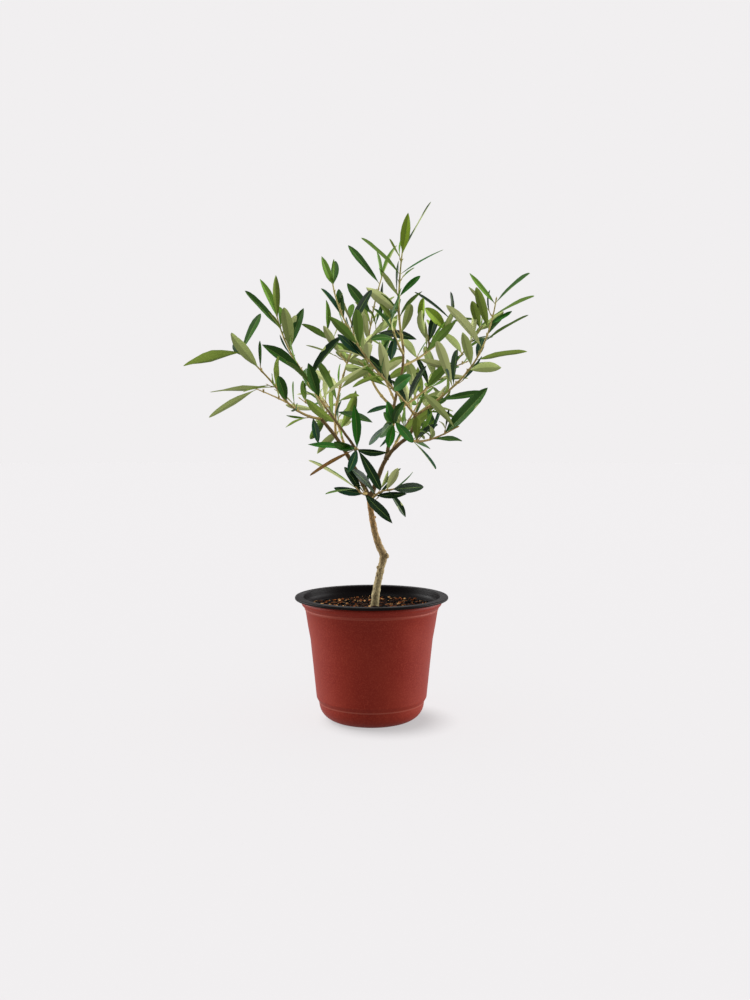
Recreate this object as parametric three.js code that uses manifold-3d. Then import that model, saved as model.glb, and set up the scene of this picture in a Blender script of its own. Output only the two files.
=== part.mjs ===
// A young olive tree in a round nursery pot, as separate closed solids in millimetres.
// The origin is the centre of the pot's flat underside. +Z is up, +X is to the right and +Y is away
// from someone who faces the plant. Headings are degrees from +X towards +Y, climbs are degrees above
// the horizontal.
import * as THREE from "three";
import { mergeVertices } from "three/addons/utils/BufferGeometryUtils.js";
import Module from "manifold-3d";

const wasm = await Module();
wasm.setup();

const { degToRad: radians, lerp } = THREE.MathUtils;
const GAP = 0.3; // clearance kept between neighbouring pieces
const GRID = 0.001; // corners are rounded to this
const SLIVER = 0.02; // detail finer than this is smoothed out of a mass of foliage

// The pot.
const POT_HEIGHT = 121;
const RIM_RADIUS = 75;
const MOUTH_RADIUS = 66.8;
const LIP_THICKNESS = 2.6;
const LIP_EDGE = 1.1; // rounding of the lip's edges
const WALL_THICKNESS = 1.1;
const SKIN_THICKNESS = 0.8; // the black inner skin
const SKIN_BOTTOM = 92; // where the skin ends, hidden behind the soil
const FOOT_RADIUS = 34.7; // flat part of the underside
const FOOT_ROUND = 16.9; // rounding from the underside to the foot's side
const FOOT_STEPS = 4;
const LEDGE_FOOT = 17.6; // the small sloping step above the foot, from here
const LEDGE_HEIGHT = 22.8; // up to here
const TURNS = 32; // facets round the pot
// Outer radius of the wall at each height, from the step above the foot to under the lip.
const WALL = [
  [51.8, LEDGE_FOOT],
  [53.7, 21.2],
  [54.2, LEDGE_HEIGHT],
  [57.5, 55.3],
  [60.0, 79.1],
  [62.5, 92.9],
  [64.8, 107.6],
  [65.7, 108.9],
  [65.4, 110.0],
  [66.9, 111.6],
  [68.5, 113.4],
  [69.0, POT_HEIGHT - LIP_THICKNESS - GAP],
];
const DRAIN_HOLES = 6;
const DRAIN_RADIUS = 3.5;
const DRAIN_RING = 23; // distance of the drain holes from the pot's centre

// The soil.
const SOIL_HEIGHT = 110.5;
const SOIL_GRAIN = 1.1; // how far the surface rises and falls
const SOIL_RINGS = [56, 40, 22];

// The trunk: radius and place of each station, from the flat cut on the soil to the fork.
const TRUNK = [
  { x: 2.9, y: 0, z: SOIL_HEIGHT + GAP, radius: 4.5 },
  { x: 3.3, y: 0, z: 114.6, radius: 4.0 },
  { x: 5.0, y: 0, z: 128.0, radius: 3.7 },
  { x: 7.3, y: 0, z: 140.0, radius: 3.5 },
  { x: 9.4, y: 1, z: 148.6, radius: 3.5 },
  { x: 11.4, y: 2, z: 156.2, radius: 3.7 },
  { x: 11.5, y: 2, z: 160.8, radius: 3.7 },
  { x: 8.3, y: 2, z: 167.6, radius: 3.5 },
  { x: 5.2, y: 1, z: 176.0, radius: 3.3 },
  { x: 2.3, y: 0, z: 187.3, radius: 3.1 },
  { x: 0.2, y: 0, z: 199.0, radius: 2.8 },
  { x: -1.3, y: 0, z: 208.5, radius: 2.7 },
  { x: -1.8, y: 0, z: 215.7, radius: 2.6 },
];
const TRUNK_STEPS = 24;
// Stubs of lost side shoots: share of the trunk's length, heading, reach from the middle, radius.
const STUBS = [
  { at: 0.47, heading: -15, reach: 5.6, radius: 1.9 },
  { at: 0.36, heading: 190, reach: 4.6, radius: 1.6 },
  { at: 0.82, heading: 20, reach: 4.1, radius: 1.3 },
];

// How an olive shoot carries its leaves: opposite pairs, each pair crossing the one below.
const STEP = 12; // length of one straight piece of a shoot
const BARE_SHARE = 0.25; // share of a shoot that stays bare at its foot
const SPACING = 17; // from one pair to the next
const LEAF_LONG = [46, 28]; // leaf length at the foot and at the tip of a shoot
const LEAF_OPEN = [62, 30]; // angle between leaf and shoot, at the foot and at the tip
const FALLEN = 0.15; // share of leaves that have dropped
const TWIG_RADIUS = [1.5, 0.9];
const SIDE_RADIUS = [1.2, 0.85];
const LEAF_THICKNESS = 0.9;
const LEAF_ARCH = 8; // bend of a traced leaf from foot to tip
const LEAF_ROOM = 0.35; // space kept round a leaf

// The boughs: where each leaves its parent, and the headings and climbs it turns through.
const BOUGHS = {
  left_bough: {
    from: "trunk", at: 1, length: 92, radii: [2.3, 1.6],
    heading: [-160, -165, -150], climb: [65, 60, 45],
  },
  right_bough: {
    from: "trunk", at: 1, length: 99, radii: [2.4, 1.5],
    heading: [0, -35, -15, -40], climb: [70, 65, 35, 95],
  },
  leader_bough: {
    from: "right_bough", at: 0.43, length: 116, radii: [1.8, 1.2],
    heading: [60, 70, -120], climb: [70, 70, 85],
  },
  upper_left_bough: {
    from: "left_bough", at: 0.42, length: 70, radii: [1.4, 1.1],
    heading: [-35, -185, -225], climb: [45, 55, 45],
  },
};

// The masses of foliage: each grows from one twig on a bough, some with a side twig.
// `leaves` places the leaves that give the crown its outline, each as
// [share of the twig, length, heading, climb, roll]; `seed` deals the rest by the rule above.
const FOLIAGE = {
  left_low: {
    from: "left_bough", at: 1, length: 110, seed: 939,
    heading: [-145, -130, -195], climb: [5, 45, 45],
    leaves: [
      [0.78, 44, -130, 40, -50], [0.97, 58, -150, -15, -40], [0.98, 41, 40, 60, -15],
      [0.57, 60, -170, -5, -15], [0.4, 37, -100, 35, 145], [0.09, 30, -70, -55, -10],
    ],
    sides: [
      {
        at: 0.37, length: 45, seed: 713,
        heading: [135, 155], climb: [20, 20],
        leaves: [
          [0.95, 54, 175, -30, -25],
        ],
      },
    ],
  },
  left_upper: {
    from: "upper_left_bough", at: 1, length: 107, seed: 1131,
    heading: [165, 155, 135], climb: [55, 55, 70],
    leaves: [
      [0.35, 51, -165, 35, 65], [0.62, 46, -100, 60, -10], [0.64, 47, 50, 65, -40],
      [0.86, 50, -160, 45, 55], [0.97, 42, -90, 70, 25], [0.97, 43, 165, 65, 30],
      [0.3, 56, -15, 50, -55], [0.11, 41, -110, 50, 145],
    ],
  },
  left_front: {
    from: "upper_left_bough", at: 0.28, length: 45, seed: 216,
    heading: [-85, -85], climb: [0, 0],
    leaves: [
      [0.76, 46, -95, 60, 165], [0.95, 45, -35, -55, -50], [0.8, 48, 165, 5, 30],
      [0.49, 50, 180, -30, -35],
    ],
  },
  inner_left: {
    from: "left_bough", at: 0.75, length: 162, seed: 682,
    heading: [100, 75, 55, 180], climb: [50, 55, 60, 70],
    leaves: [
      [0.2, 43, -30, -15, -35],
    ],
    sides: [
      {
        at: 0.57, length: 43, seed: 715,
        heading: [125, 200], climb: [40, 70],
        leaves: [
          [0.94, 38, -90, 50, 130],
        ],
      },
    ],
  },
  crossing: {
    from: "right_bough", at: 0.97, length: 159, seed: 636,
    heading: [-125, -135, -165, -235], climb: [35, 35, 60, 75],
    leaves: [
      [0.59, 40, -95, 50, 0], [0.61, 40, -140, 35, -40], [0.7, 48, 45, 55, -20],
      [0.77, 44, 135, 45, -5], [0.98, 31, -115, 45, 125], [0.98, 26, 80, 65, -5],
      [0.32, 45, -105, 50, -10], [0.1, 40, 120, 40, 0], [0.48, 59, -160, -35, -25],
      [0.77, 37, 105, 55, 10],
    ],
  },
  top: {
    from: "leader_bough", at: 0.99, length: 92, seed: 135,
    heading: [-220, -75, -60], climb: [80, 85, 75],
    leaves: [
      [0.97, 40, -75, 60, -155], [0.97, 56, -10, 60, -20], [0.76, 51, -165, 40, 0],
      [0.76, 49, 5, 30, -15], [0.37, 46, -140, 25, -55], [0.3, 46, -130, -25, -65],
      [0.14, 36, -70, 45, 20],
    ],
  },
  middle_front: {
    from: "leader_bough", at: 0.35, length: 64, seed: 59,
    heading: [-85, -95], climb: [0, -10],
    leaves: [
      [0.95, 45, -100, 25, 145], [0.95, 38, -100, -35, 5], [0.95, 37, -85, 20, -145],
      [0.51, 39, 140, -35, 60],
    ],
  },
  rear_centre: {
    from: "leader_bough", at: 0.46, length: 163, seed: 1042,
    heading: [150, 110, 55, 30], climb: [35, 55, 75, 70],
    leaves: [
      [0.98, 29, -110, 60, 110], [0.98, 38, 10, 65, -15], [0.94, 51, -175, 50, 45],
      [0.73, 45, 155, 50, 60], [0.03, 34, -135, -15, 30],
    ],
    sides: [
      {
        at: 0.28, length: 20, seed: 419,
        heading: [-210, -130], climb: [75, 25],
        leaves: [],
      },
      {
        at: 0.56, length: 34, seed: 929,
        heading: [-35, -60], climb: [25, 55],
        leaves: [],
      },
    ],
  },
  right_upper: {
    from: "right_bough", at: 0.96, length: 143, seed: 94,
    heading: [-45, -20, 20, 50], climb: [25, 40, 65, 75],
    leaves: [
      [0.98, 45, -45, 30, -50], [0.97, 40, 155, 50, 30], [0.79, 46, -120, 50, -20],
      [0.89, 48, 20, 25, 25], [0.83, 27, 25, 30, -35], [0.71, 49, -35, 25, -5], [0.57, 58, 25, 10, 30],
      [0.49, 41, -50, 0, 75], [0.58, 30, 70, 45, -10], [0.66, 56, -145, 40, -5],
      [0.34, 49, -125, 55, -25], [0.35, 39, 75, 65, 35], [0.52, 38, -115, 50, -5],
      [0.2, 48, 10, 10, -45], [0.12, 35, 75, -35, -150],
    ],
  },
  right_inner: {
    from: "leader_bough", at: 0.43, length: 104, seed: 349,
    heading: [40, 35, 20], climb: [20, 40, 20],
    leaves: [
      [0.5, 38, 120, 55, -5], [0.19, 44, -45, 55, -70],
    ],
    sides: [
      {
        at: 0.82, length: 58, seed: 341,
        heading: [45, 10], climb: [45, 55],
        leaves: [
          [0.96, 36, -115, 45, -15],
        ],
      },
    ],
  },
  right_rear: {
    from: "leader_bough", at: 0.83, length: 109, seed: 817,
    heading: [55, 50, 35], climb: [15, 30, 70],
    leaves: [
      [0.97, 24, -110, 65, 120], [0.91, 48, -170, 35, 35], [0.78, 45, -125, 25, 125],
    ],
    sides: [
      {
        at: 0.45, length: 28, seed: 29,
        heading: [-75, -165], climb: [85, 35],
        leaves: [
          [0.92, 35, -90, 50, -135],
        ],
      },
    ],
  },
  right_low: {
    from: "right_bough", at: 0.72, length: 75, seed: 1064,
    heading: [-60, -55, -40], climb: [-15, 10, 25],
    leaves: [
      [0.77, 63, -40, 40, -80], [0.97, 46, -145, 40, -30], [0.21, 35, -50, 25, -65],
      [0.08, 35, 50, -15, -45], [0.17, 41, -50, -40, 20], [0.24, 31, -90, 45, 0],
    ],
  },
  fork_left: {
    from: "left_bough", at: 0.07, length: 31, seed: 1145,
    heading: [-105, -115], climb: [-10, 35],
    leaves: [
      [0.62, 39, -120, 40, 115], [0.92, 41, -135, -5, 5], [0.92, 54, 175, 30, 0],
    ],
  },
  fork_right: {
    from: "trunk", at: 0.96, length: 41, seed: 321,
    heading: [-75, -30], climb: [40, 5],
    leaves: [
      [0.77, 31, -60, 45, 35], [0.94, 41, -45, 5, -80], [0.1, 35, -45, -35, -50],
      [0.83, 35, 40, -50, -85],
    ],
  },
  back_left: {
    from: "left_bough", at: 0.58, length: 162, seed: 244,
    heading: [95, 105, 110, 115], climb: [25, 30, 25, 30],
    leaves: [],
    sides: [
      {
        at: 0.45, length: 54, seed: 413,
        heading: [125, 155], climb: [10, 35],
        leaves: [],
      },
    ],
  },
  back_right: {
    from: "right_bough", at: 0.51, length: 171, seed: 198,
    heading: [80, 70, 70, 70], climb: [15, 30, 30, 25],
    leaves: [],
    sides: [
      {
        at: 0.4, length: 57, seed: 662,
        heading: [45, 45], climb: [25, 25],
        leaves: [],
      },
    ],
  },
  leader_front: {
    from: "leader_bough", at: 0.93, length: 48, seed: 624,
    heading: [-120, -105], climb: [35, 50],
    leaves: [
      [0.52, 36, -100, -45, 5],
    ],
  },
  back_top: {
    from: "leader_bough", at: 0.52, length: 150, seed: 100,
    heading: [100, 100, 85, 55], climb: [25, 25, 40, 50],
    leaves: [],
    sides: [
      {
        at: 0.46, length: 51, seed: 528,
        heading: [115, 150], climb: [35, 35],
        leaves: [],
      },
    ],
  },
};

function randomOf(seed) {
  let state = seed >>> 0;
  return () => {
    state = (state + 0x6d2b79f5) >>> 0;
    let t = state;
    t = Math.imul(t ^ (t >>> 15), t | 1);
    t ^= t + Math.imul(t ^ (t >>> 7), t | 61);
    return ((t ^ (t >>> 14)) >>> 0) / 4294967296;
  };
}

// A solid from a geometry whose faces enclose it.
function solidOf(geometry) {
  const bare = geometry.clone();
  bare.deleteAttribute("normal");
  bare.deleteAttribute("uv");
  const merged = mergeVertices(bare, 1e-4);
  const made = new wasm.Manifold(
    new wasm.Mesh({
      numProp: 3,
      vertProperties: merged.attributes.position.array,
      triVerts: new Uint32Array(merged.index.array),
    }),
  );
  if (made.volume() < 0) throw new Error("a solid is inside out");
  return made;
}

// A geometry of the solid, with its corners rounded to a fine grid.
function geometryOf(solid) {
  const mesh = solid.getMesh();
  const corners = mesh.vertProperties.map((value) => Math.round(value / GRID) * GRID);
  const geometry = new THREE.BufferGeometry();
  geometry.setAttribute("position", new THREE.BufferAttribute(corners, 3));
  geometry.setIndex(new THREE.BufferAttribute(mesh.triVerts, 1));
  geometry.computeVertexNormals();
  return geometry;
}

function facetedGeometry(points, faces) {
  const geometry = new THREE.BufferGeometry().setFromPoints(points);
  geometry.setIndex(faces.flat());
  return geometry;
}

function largestBody(solid) {
  const bodies = solid.decompose();
  return bodies.reduce((best, body) => (body.volume() > best.volume() ? body : best));
}

// A list of values read at a share of its length, straight between neighbours.
function between(list, share) {
  const place = share * (list.length - 1);
  const index = Math.min(Math.floor(place), list.length - 2);
  return lerp(list[index], list[index + 1], place - index);
}

function directionOf(heading, climb) {
  const h = radians(heading);
  const c = radians(climb);
  return new THREE.Vector3(Math.cos(c) * Math.cos(h), Math.cos(c) * Math.sin(h), Math.sin(c));
}

// The middle line of a limb that turns evenly from its first heading and climb to its last.
function limbPath(start, { length, heading, climb }) {
  const count = Math.max(3, Math.floor(length / STEP + 0.5));
  const path = [start.clone()];
  for (let i = 0; i < count; i++) {
    const share = (i + 0.5) / count;
    const ahead = directionOf(between(heading, share), between(climb, share));
    path.push(path[i].clone().addScaledVector(ahead, length / count));
  }
  return path;
}

function lengthsAlong(path) {
  const lengths = [0];
  for (let i = 1; i < path.length; i++) {
    lengths.push(lengths[i - 1] + path[i].distanceTo(path[i - 1]));
  }
  return lengths;
}

function pieceAt(lengths, distance) {
  let index = 0;
  while (index < lengths.length - 2 && lengths[index + 1] < distance) index++;
  return index;
}

function pointAt(path, share) {
  const lengths = lengthsAlong(path);
  const distance = share * lengths.at(-1);
  const index = pieceAt(lengths, distance);
  const along = (distance - lengths[index]) / (lengths[index + 1] - lengths[index]);
  return path[index].clone().lerp(path[index + 1], along);
}

// The direction of each straight piece of a path, and a side direction carried along without twist.
function framesAlong(path) {
  const ahead = path.slice(1).map((point, i) => point.clone().sub(path[i]).normalize());
  const sizes = ahead[0].toArray().map(Math.abs);
  const axis = new THREE.Vector3().setComponent(sizes.indexOf(Math.min(...sizes)), 1);
  let side = axis;
  const sides = ahead.map((direction) => {
    side = side.clone().addScaledVector(direction, -side.dot(direction)).normalize();
    return side;
  });
  return { ahead, sides };
}

// A tapering limb with flat ends; `room` makes it fatter and longer all round.
function limbSolid(path, radii, facets, room = 0) {
  const { ahead, sides } = framesAlong(path);
  const points = [];
  path.forEach((point, i) => {
    const direction = ahead[Math.max(i - 1, 0)].clone().add(ahead[Math.min(i, ahead.length - 1)]);
    direction.normalize();
    const side = sides[Math.min(i, sides.length - 1)].clone();
    side.addScaledVector(direction, -side.dot(direction)).normalize();
    const across = direction.clone().cross(side);
    const radius = between(radii, i / (path.length - 1)) + room;
    const middle = point.clone();
    if (i === 0) middle.addScaledVector(direction, -room);
    if (i === path.length - 1) middle.addScaledVector(direction, room);
    for (let j = 0; j < facets; j++) {
      const angle = (2 * Math.PI * j) / facets;
      const corner = middle.clone().addScaledVector(side, radius * Math.cos(angle));
      points.push(corner.addScaledVector(across, radius * Math.sin(angle)));
    }
  });
  const faces = [];
  for (let i = 0; i + 1 < path.length; i++) {
    for (let j = 0; j < facets; j++) {
      const a = i * facets + j;
      const b = i * facets + ((j + 1) % facets);
      faces.push([a, b, b + facets], [a, b + facets, a + facets]);
    }
  }
  const last = (path.length - 1) * facets;
  for (let j = 1; j + 1 < facets; j++) {
    faces.push([0, j + 1, j], [last, last + j, last + j + 1]);
  }
  return solidOf(facetedGeometry(points, faces));
}

function leafHalfWidth(long, share) {
  const place = Math.max(0, (share - 0.05) / 0.95) ** 0.9;
  return 0.5 * (3 + 0.175 * long) * Math.sin(Math.PI * place) ** 0.85;
}

// A leaf of sixteen faces: a root sunk in the twig, two three-cornered sections and a tip.
function leafSolid({ base, ahead, up, long, arch }, room = 0) {
  const side = ahead.clone().cross(up);
  const bend = radians(arch);
  const section = (share, halfWidth, thickness) => {
    const angle = bend * (share - 0.5);
    const forward = (long / bend) * (Math.sin(angle) + Math.sin(bend / 2));
    const rise = (long / bend) * (Math.cos(angle) - Math.cos(bend / 2));
    const middle = base.clone().addScaledVector(ahead, forward).addScaledVector(up, rise + room);
    const keel = middle.clone().addScaledVector(up, -thickness - 2 * room);
    if (halfWidth === 0) return [middle.addScaledVector(ahead, room)];
    return [
      middle.clone().addScaledVector(side, halfWidth + room),
      middle.clone().addScaledVector(side, -halfWidth - room),
      keel,
    ];
  };
  const root = section(0, 0.3, 0.5);
  root.forEach((corner) => corner.addScaledVector(up, 0.25).addScaledVector(ahead, 0.2));
  const points = [
    ...root,
    ...section(0.33, leafHalfWidth(long, 0.33), LEAF_THICKNESS),
    ...section(0.7, leafHalfWidth(long, 0.7), LEAF_THICKNESS),
    ...section(1, 0, 0),
  ];
  const faces = [[0, 1, 2]];
  for (const first of [0, 3]) {
    for (let j = 0; j < 3; j++) {
      const a = first + j;
      const b = first + ((j + 1) % 3);
      faces.push([a, a + 3, b + 3], [a, b + 3, b]);
    }
  }
  faces.push([6, 9, 7], [7, 9, 8], [8, 9, 6]);
  return solidOf(facetedGeometry(points, faces));
}

// A leaf traced from the plant: where it sits on its twig, its length, bearing and roll.
function tracedLeaf(path, [at, long, heading, climb, roll]) {
  const ahead = directionOf(heading, climb);
  const level = new THREE.Vector3(Math.sin(radians(heading)), -Math.cos(radians(heading)), 0);
  const up = level.clone().cross(ahead).multiplyScalar(Math.cos(radians(roll)));
  up.addScaledVector(level, -Math.sin(radians(roll)));
  return { base: pointAt(path, at), ahead, up, long, arch: LEAF_ARCH, at };
}

// The leaves the rule adds to a twig where no traced leaf already stands.
function grownLeaves(path, seed, traced) {
  const random = randomOf(seed);
  const { ahead: pieces, sides } = framesAlong(path);
  const lengths = lengthsAlong(path);
  const total = lengths.at(-1);
  const turn = 360 * random();
  const leaves = [];
  let distance = BARE_SHARE * total + SPACING * 0.5 * random();
  for (let pair = 0; distance < total - 1; pair++) {
    const share = distance / total;
    const index = pieceAt(lengths, distance);
    const stem = pieces[index];
    const across = stem.clone().cross(sides[index]);
    for (const hand of [0, 1]) {
      const around = radians(turn + 90 * pair + 180 * hand + 30 * (random() - 0.5));
      const open = radians(between(LEAF_OPEN, share) + 36 * (random() - 0.5));
      const long = between(LEAF_LONG, share) * (0.8 + 0.4 * random());
      const roll = radians(120 * (random() - 0.5));
      const fallen = random() < FALLEN;
      const arch = 10 + 30 * random();
      const outward = sides[index].clone().multiplyScalar(Math.cos(around));
      outward.addScaledVector(across, Math.sin(around));
      const ahead = stem.clone().multiplyScalar(Math.cos(open));
      ahead.addScaledVector(outward, Math.sin(open));
      const facing = stem.clone().addScaledVector(ahead, -stem.dot(ahead)).normalize();
      const up = facing.clone().multiplyScalar(Math.cos(roll));
      up.addScaledVector(facing.clone().cross(ahead), Math.sin(roll));
      const crowded = traced.some(
        (leaf) => Math.abs(leaf.at - share) * total < 9 && leaf.ahead.dot(ahead) > 0.45,
      );
      if (!fallen && !crowded) {
        leaves.push({ base: pointAt(path, share), ahead, up, long, arch });
      }
    }
    distance += SPACING * (0.8 + 0.4 * random());
  }
  return leaves;
}

// Everything already standing, so that no leaf touches a limb or another mass of foliage.
const standing = [];

function stand(solid, owner) {
  standing.push({ solid, owner, box: solid.boundingBox() });
}

function isClear(trial, owner) {
  const box = trial.boundingBox();
  const near = ({ box: other }) =>
    box.min.every((low, k) => low < other.max[k]) && box.max.every((high, k) => high > other.min[k]);
  return standing
    .filter((piece) => piece.owner !== owner && near(piece))
    .every((piece) => trial.intersect(piece.solid).isEmpty());
}

function withoutLimbs(solid, limbs) {
  return limbs.reduce((left, limb) => left.subtract(limb.roomy), solid);
}

// The trunk, with its stubs.
const trunkCurve = new THREE.CatmullRomCurve3(
  TRUNK.map(({ x, y, z }) => new THREE.Vector3(x, y, z)),
  false,
  "centripetal",
);
const trunkPath = Array.from({ length: TRUNK_STEPS + 1 }, (_, i) =>
  trunkCurve.getPoint(i / TRUNK_STEPS),
);
const trunkRadii = TRUNK.map(({ radius }) => radius);

function trunkSolid() {
  let solid = limbSolid(trunkPath, trunkRadii, 9);
  for (const { at, heading, reach, radius } of STUBS) {
    const start = pointAt(trunkPath, at);
    const end = start.clone().addScaledVector(directionOf(heading, 20), reach);
    solid = solid.add(limbSolid([start, end], [radius + 0.6, radius - 0.4], 6));
  }
  const level = new THREE.BoxGeometry(30, 30, 10);
  level.translate(TRUNK[0].x, TRUNK[0].y, TRUNK[0].z - 5);
  return solid.subtract(solidOf(level));
}

// The limbs: each grows from the middle of its parent and is cut to stand clear of the ones before it.
const paths = { trunk: trunkPath };
const limbs = [{ name: "trunk", solid: trunkSolid(), roomy: limbSolid(trunkPath, trunkRadii, 9, GAP) }];
for (const [name, limb] of Object.entries(BOUGHS)) {
  paths[name] = limbPath(pointAt(paths[limb.from], limb.at), limb);
  const solid = largestBody(withoutLimbs(limbSolid(paths[name], limb.radii, 8), limbs));
  limbs.push({ name, solid, roomy: limbSolid(paths[name], limb.radii, 8, GAP) });
}
limbs.forEach((limb) => stand(limb.roomy, null));

// The foliage: twigs first, then the traced leaves of every mass, then the leaves of the rule.
const masses = Object.entries(FOLIAGE).map(([name, plan]) => {
  const path = limbPath(pointAt(paths[plan.from], plan.at), plan);
  const sides = plan.sides ?? [];
  const twigs = [
    { path, plan, radii: TWIG_RADIUS },
    ...sides.map((side) => ({
      path: limbPath(pointAt(path, side.at), side),
      plan: side,
      radii: SIDE_RADIUS,
    })),
  ];
  const pieces = twigs.map((twig) => limbSolid(twig.path, twig.radii, 3));
  pieces.forEach((piece) => stand(piece, name));
  return { name, twigs, pieces };
});

function addLeaf(mass, leaf) {
  if (!isClear(leafSolid(leaf, LEAF_ROOM), mass.name)) return;
  const solid = leafSolid(leaf);
  stand(solid, mass.name);
  mass.pieces.push(solid);
}

for (const mass of masses) {
  for (const twig of mass.twigs) {
    twig.traced = twig.plan.leaves.map((row) => tracedLeaf(twig.path, row));
    twig.traced.forEach((leaf) => addLeaf(mass, leaf));
  }
}
for (const mass of masses) {
  for (const twig of mass.twigs) {
    grownLeaves(twig.path, twig.plan.seed, twig.traced).forEach((leaf) => addLeaf(mass, leaf));
  }
}

function massSolid(mass) {
  const joined = mass.pieces.reduce((sum, piece) => sum.add(piece));
  return largestBody(withoutLimbs(joined, limbs)).simplify(SLIVER);
}

// The pot: profiles are lists of [radius, height] of the outer face, moved inwards by a distance.
function wallProfile() {
  const foot = Array.from({ length: FOOT_STEPS + 1 }, (_, i) => {
    const angle = (Math.PI / 2) * (i / FOOT_STEPS);
    return [FOOT_RADIUS + FOOT_ROUND * Math.sin(angle), FOOT_ROUND * (1 - Math.cos(angle))];
  });
  return [[0, 0], ...foot, ...WALL];
}

function inwards(profile, distance) {
  return profile.map(([radius, height], i) => {
    const before = profile[Math.max(i - 1, 0)];
    const after = profile[Math.min(i + 1, profile.length - 1)];
    const run = after[0] - before[0];
    const climb = after[1] - before[1];
    const size = Math.hypot(run, climb);
    if (radius === 0) return [0, height + distance];
    if (i === profile.length - 1) return [radius - (distance * size) / climb, height];
    return [radius - (distance * climb) / size, height + (distance * run) / size];
  });
}

function turned(profile) {
  const points = profile.map(([radius, height]) => new THREE.Vector2(radius, height));
  const geometry = new THREE.LatheGeometry(points, TURNS);
  geometry.rotateX(Math.PI / 2);
  return geometry;
}

function potWall() {
  const outer = wallProfile();
  let solid = solidOf(turned([...outer, ...inwards(outer, WALL_THICKNESS).reverse()]));
  for (let i = 0; i < DRAIN_HOLES; i++) {
    const angle = (2 * Math.PI * i) / DRAIN_HOLES;
    const hole = new THREE.CylinderGeometry(DRAIN_RADIUS, DRAIN_RADIUS, 6, 10);
    hole.rotateX(Math.PI / 2);
    hole.translate(DRAIN_RING * Math.cos(angle), DRAIN_RING * Math.sin(angle), 0);
    solid = solid.subtract(solidOf(hole));
  }
  return solid;
}

function potLining() {
  const above = ([, height]) => height > SKIN_BOTTOM;
  const outer = inwards(wallProfile(), WALL_THICKNESS + GAP).filter(above);
  const inner = inwards(wallProfile(), WALL_THICKNESS + GAP + SKIN_THICKNESS).filter(above);
  const underside = POT_HEIGHT - LIP_THICKNESS;
  outer[outer.length - 1] = [MOUTH_RADIUS, underside];
  inner.pop();
  const profile = [
    ...outer,
    [RIM_RADIUS - LIP_EDGE, underside],
    [RIM_RADIUS, underside + LIP_EDGE],
    [RIM_RADIUS - 0.2, POT_HEIGHT - 0.7],
    [RIM_RADIUS - LIP_EDGE, POT_HEIGHT],
    [MOUTH_RADIUS + LIP_EDGE, POT_HEIGHT],
    [MOUTH_RADIUS, POT_HEIGHT - LIP_EDGE],
    ...inner.reverse(),
  ];
  return solidOf(turned([...profile, profile[0]]));
}

// A smooth pseudo-random rise and fall over the soil, still round the foot of the trunk.
function grain(x, y) {
  const away = Math.hypot(x - TRUNK[0].x, y - TRUNK[0].y);
  const calm = THREE.MathUtils.smoothstep(away, 7, 16);
  const wave = Math.sin(0.31 * x + 1.3) * Math.cos(0.27 * y) + Math.sin(0.19 * x - 0.33 * y);
  return calm * SOIL_GRAIN * 0.5 * (wave - 1);
}

function soilSolid() {
  const low = inwards(wallProfile(), WALL_THICKNESS + GAP).filter(([, height]) => height < SKIN_BOTTOM - 1);
  const high = inwards(wallProfile(), WALL_THICKNESS + SKIN_THICKNESS + 2 * GAP);
  const within = high.filter(([, height]) => height > SKIN_BOTTOM && height < SOIL_HEIGHT - 1);
  const edge = high.find(([, height]) => height > SOIL_HEIGHT - 1)[0];
  const shoulder = within[0][0];
  const profile = [
    ...low,
    [shoulder - 1, SKIN_BOTTOM - 1],
    ...within,
    [edge - 0.4, SOIL_HEIGHT - 1],
    [edge - 1.6, SOIL_HEIGHT],
    ...SOIL_RINGS.map((radius) => [radius, SOIL_HEIGHT]),
    [0, SOIL_HEIGHT],
  ];
  const geometry = turned(profile);
  const place = geometry.attributes.position;
  for (let i = 0; i < place.count; i++) {
    const onTop = place.getZ(i) > SOIL_HEIGHT - 0.01;
    if (onTop) place.setZ(i, SOIL_HEIGHT + grain(place.getX(i), place.getY(i)));
  }
  return solidOf(geometry);
}

const LOOKS = {
  potWall: { color: 0x7d2f26, roughness: 0.55, metalness: 0 },
  potLining: { color: 0x1b1918, roughness: 0.5, metalness: 0 },
  soil: { color: 0x4a2a1a, roughness: 1, metalness: 0 },
  bark: { color: 0x9a8662, roughness: 0.9, metalness: 0 },
  foliage: { color: 0x4c6b3c, roughness: 0.6, metalness: 0 },
};

const part = new THREE.Group();

function addPiece(name, solid, look) {
  const piece = new THREE.Mesh(geometryOf(solid), new THREE.MeshStandardMaterial(LOOKS[look]));
  piece.name = name;
  part.add(piece);
}

addPiece("pot_wall", potWall(), "potWall");
addPiece("pot_lining", potLining(), "potLining");
addPiece("soil", soilSolid(), "soil");
limbs.forEach(({ name, solid }) => addPiece(name, solid, "bark"));
masses.forEach((mass) => addPiece("foliage_" + mass.name, massSolid(mass), "foliage"));

export default part;
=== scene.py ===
# %% [markdown]
# A young olive tree in a nursery pot.
# The plain solid model is loaded first: it fixes every size and place. Each part is then modelled
# in full where its solid stands: the moulded pot, the potting mix, the bark, the twigs and the
# leaves. Everything is in metres, +Z is up, and the plant is seen from -Y.

import math

import bmesh
import bpy
from mathutils import Matrix, Vector, noise
from mathutils.bvhtree import BVHTree


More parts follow.
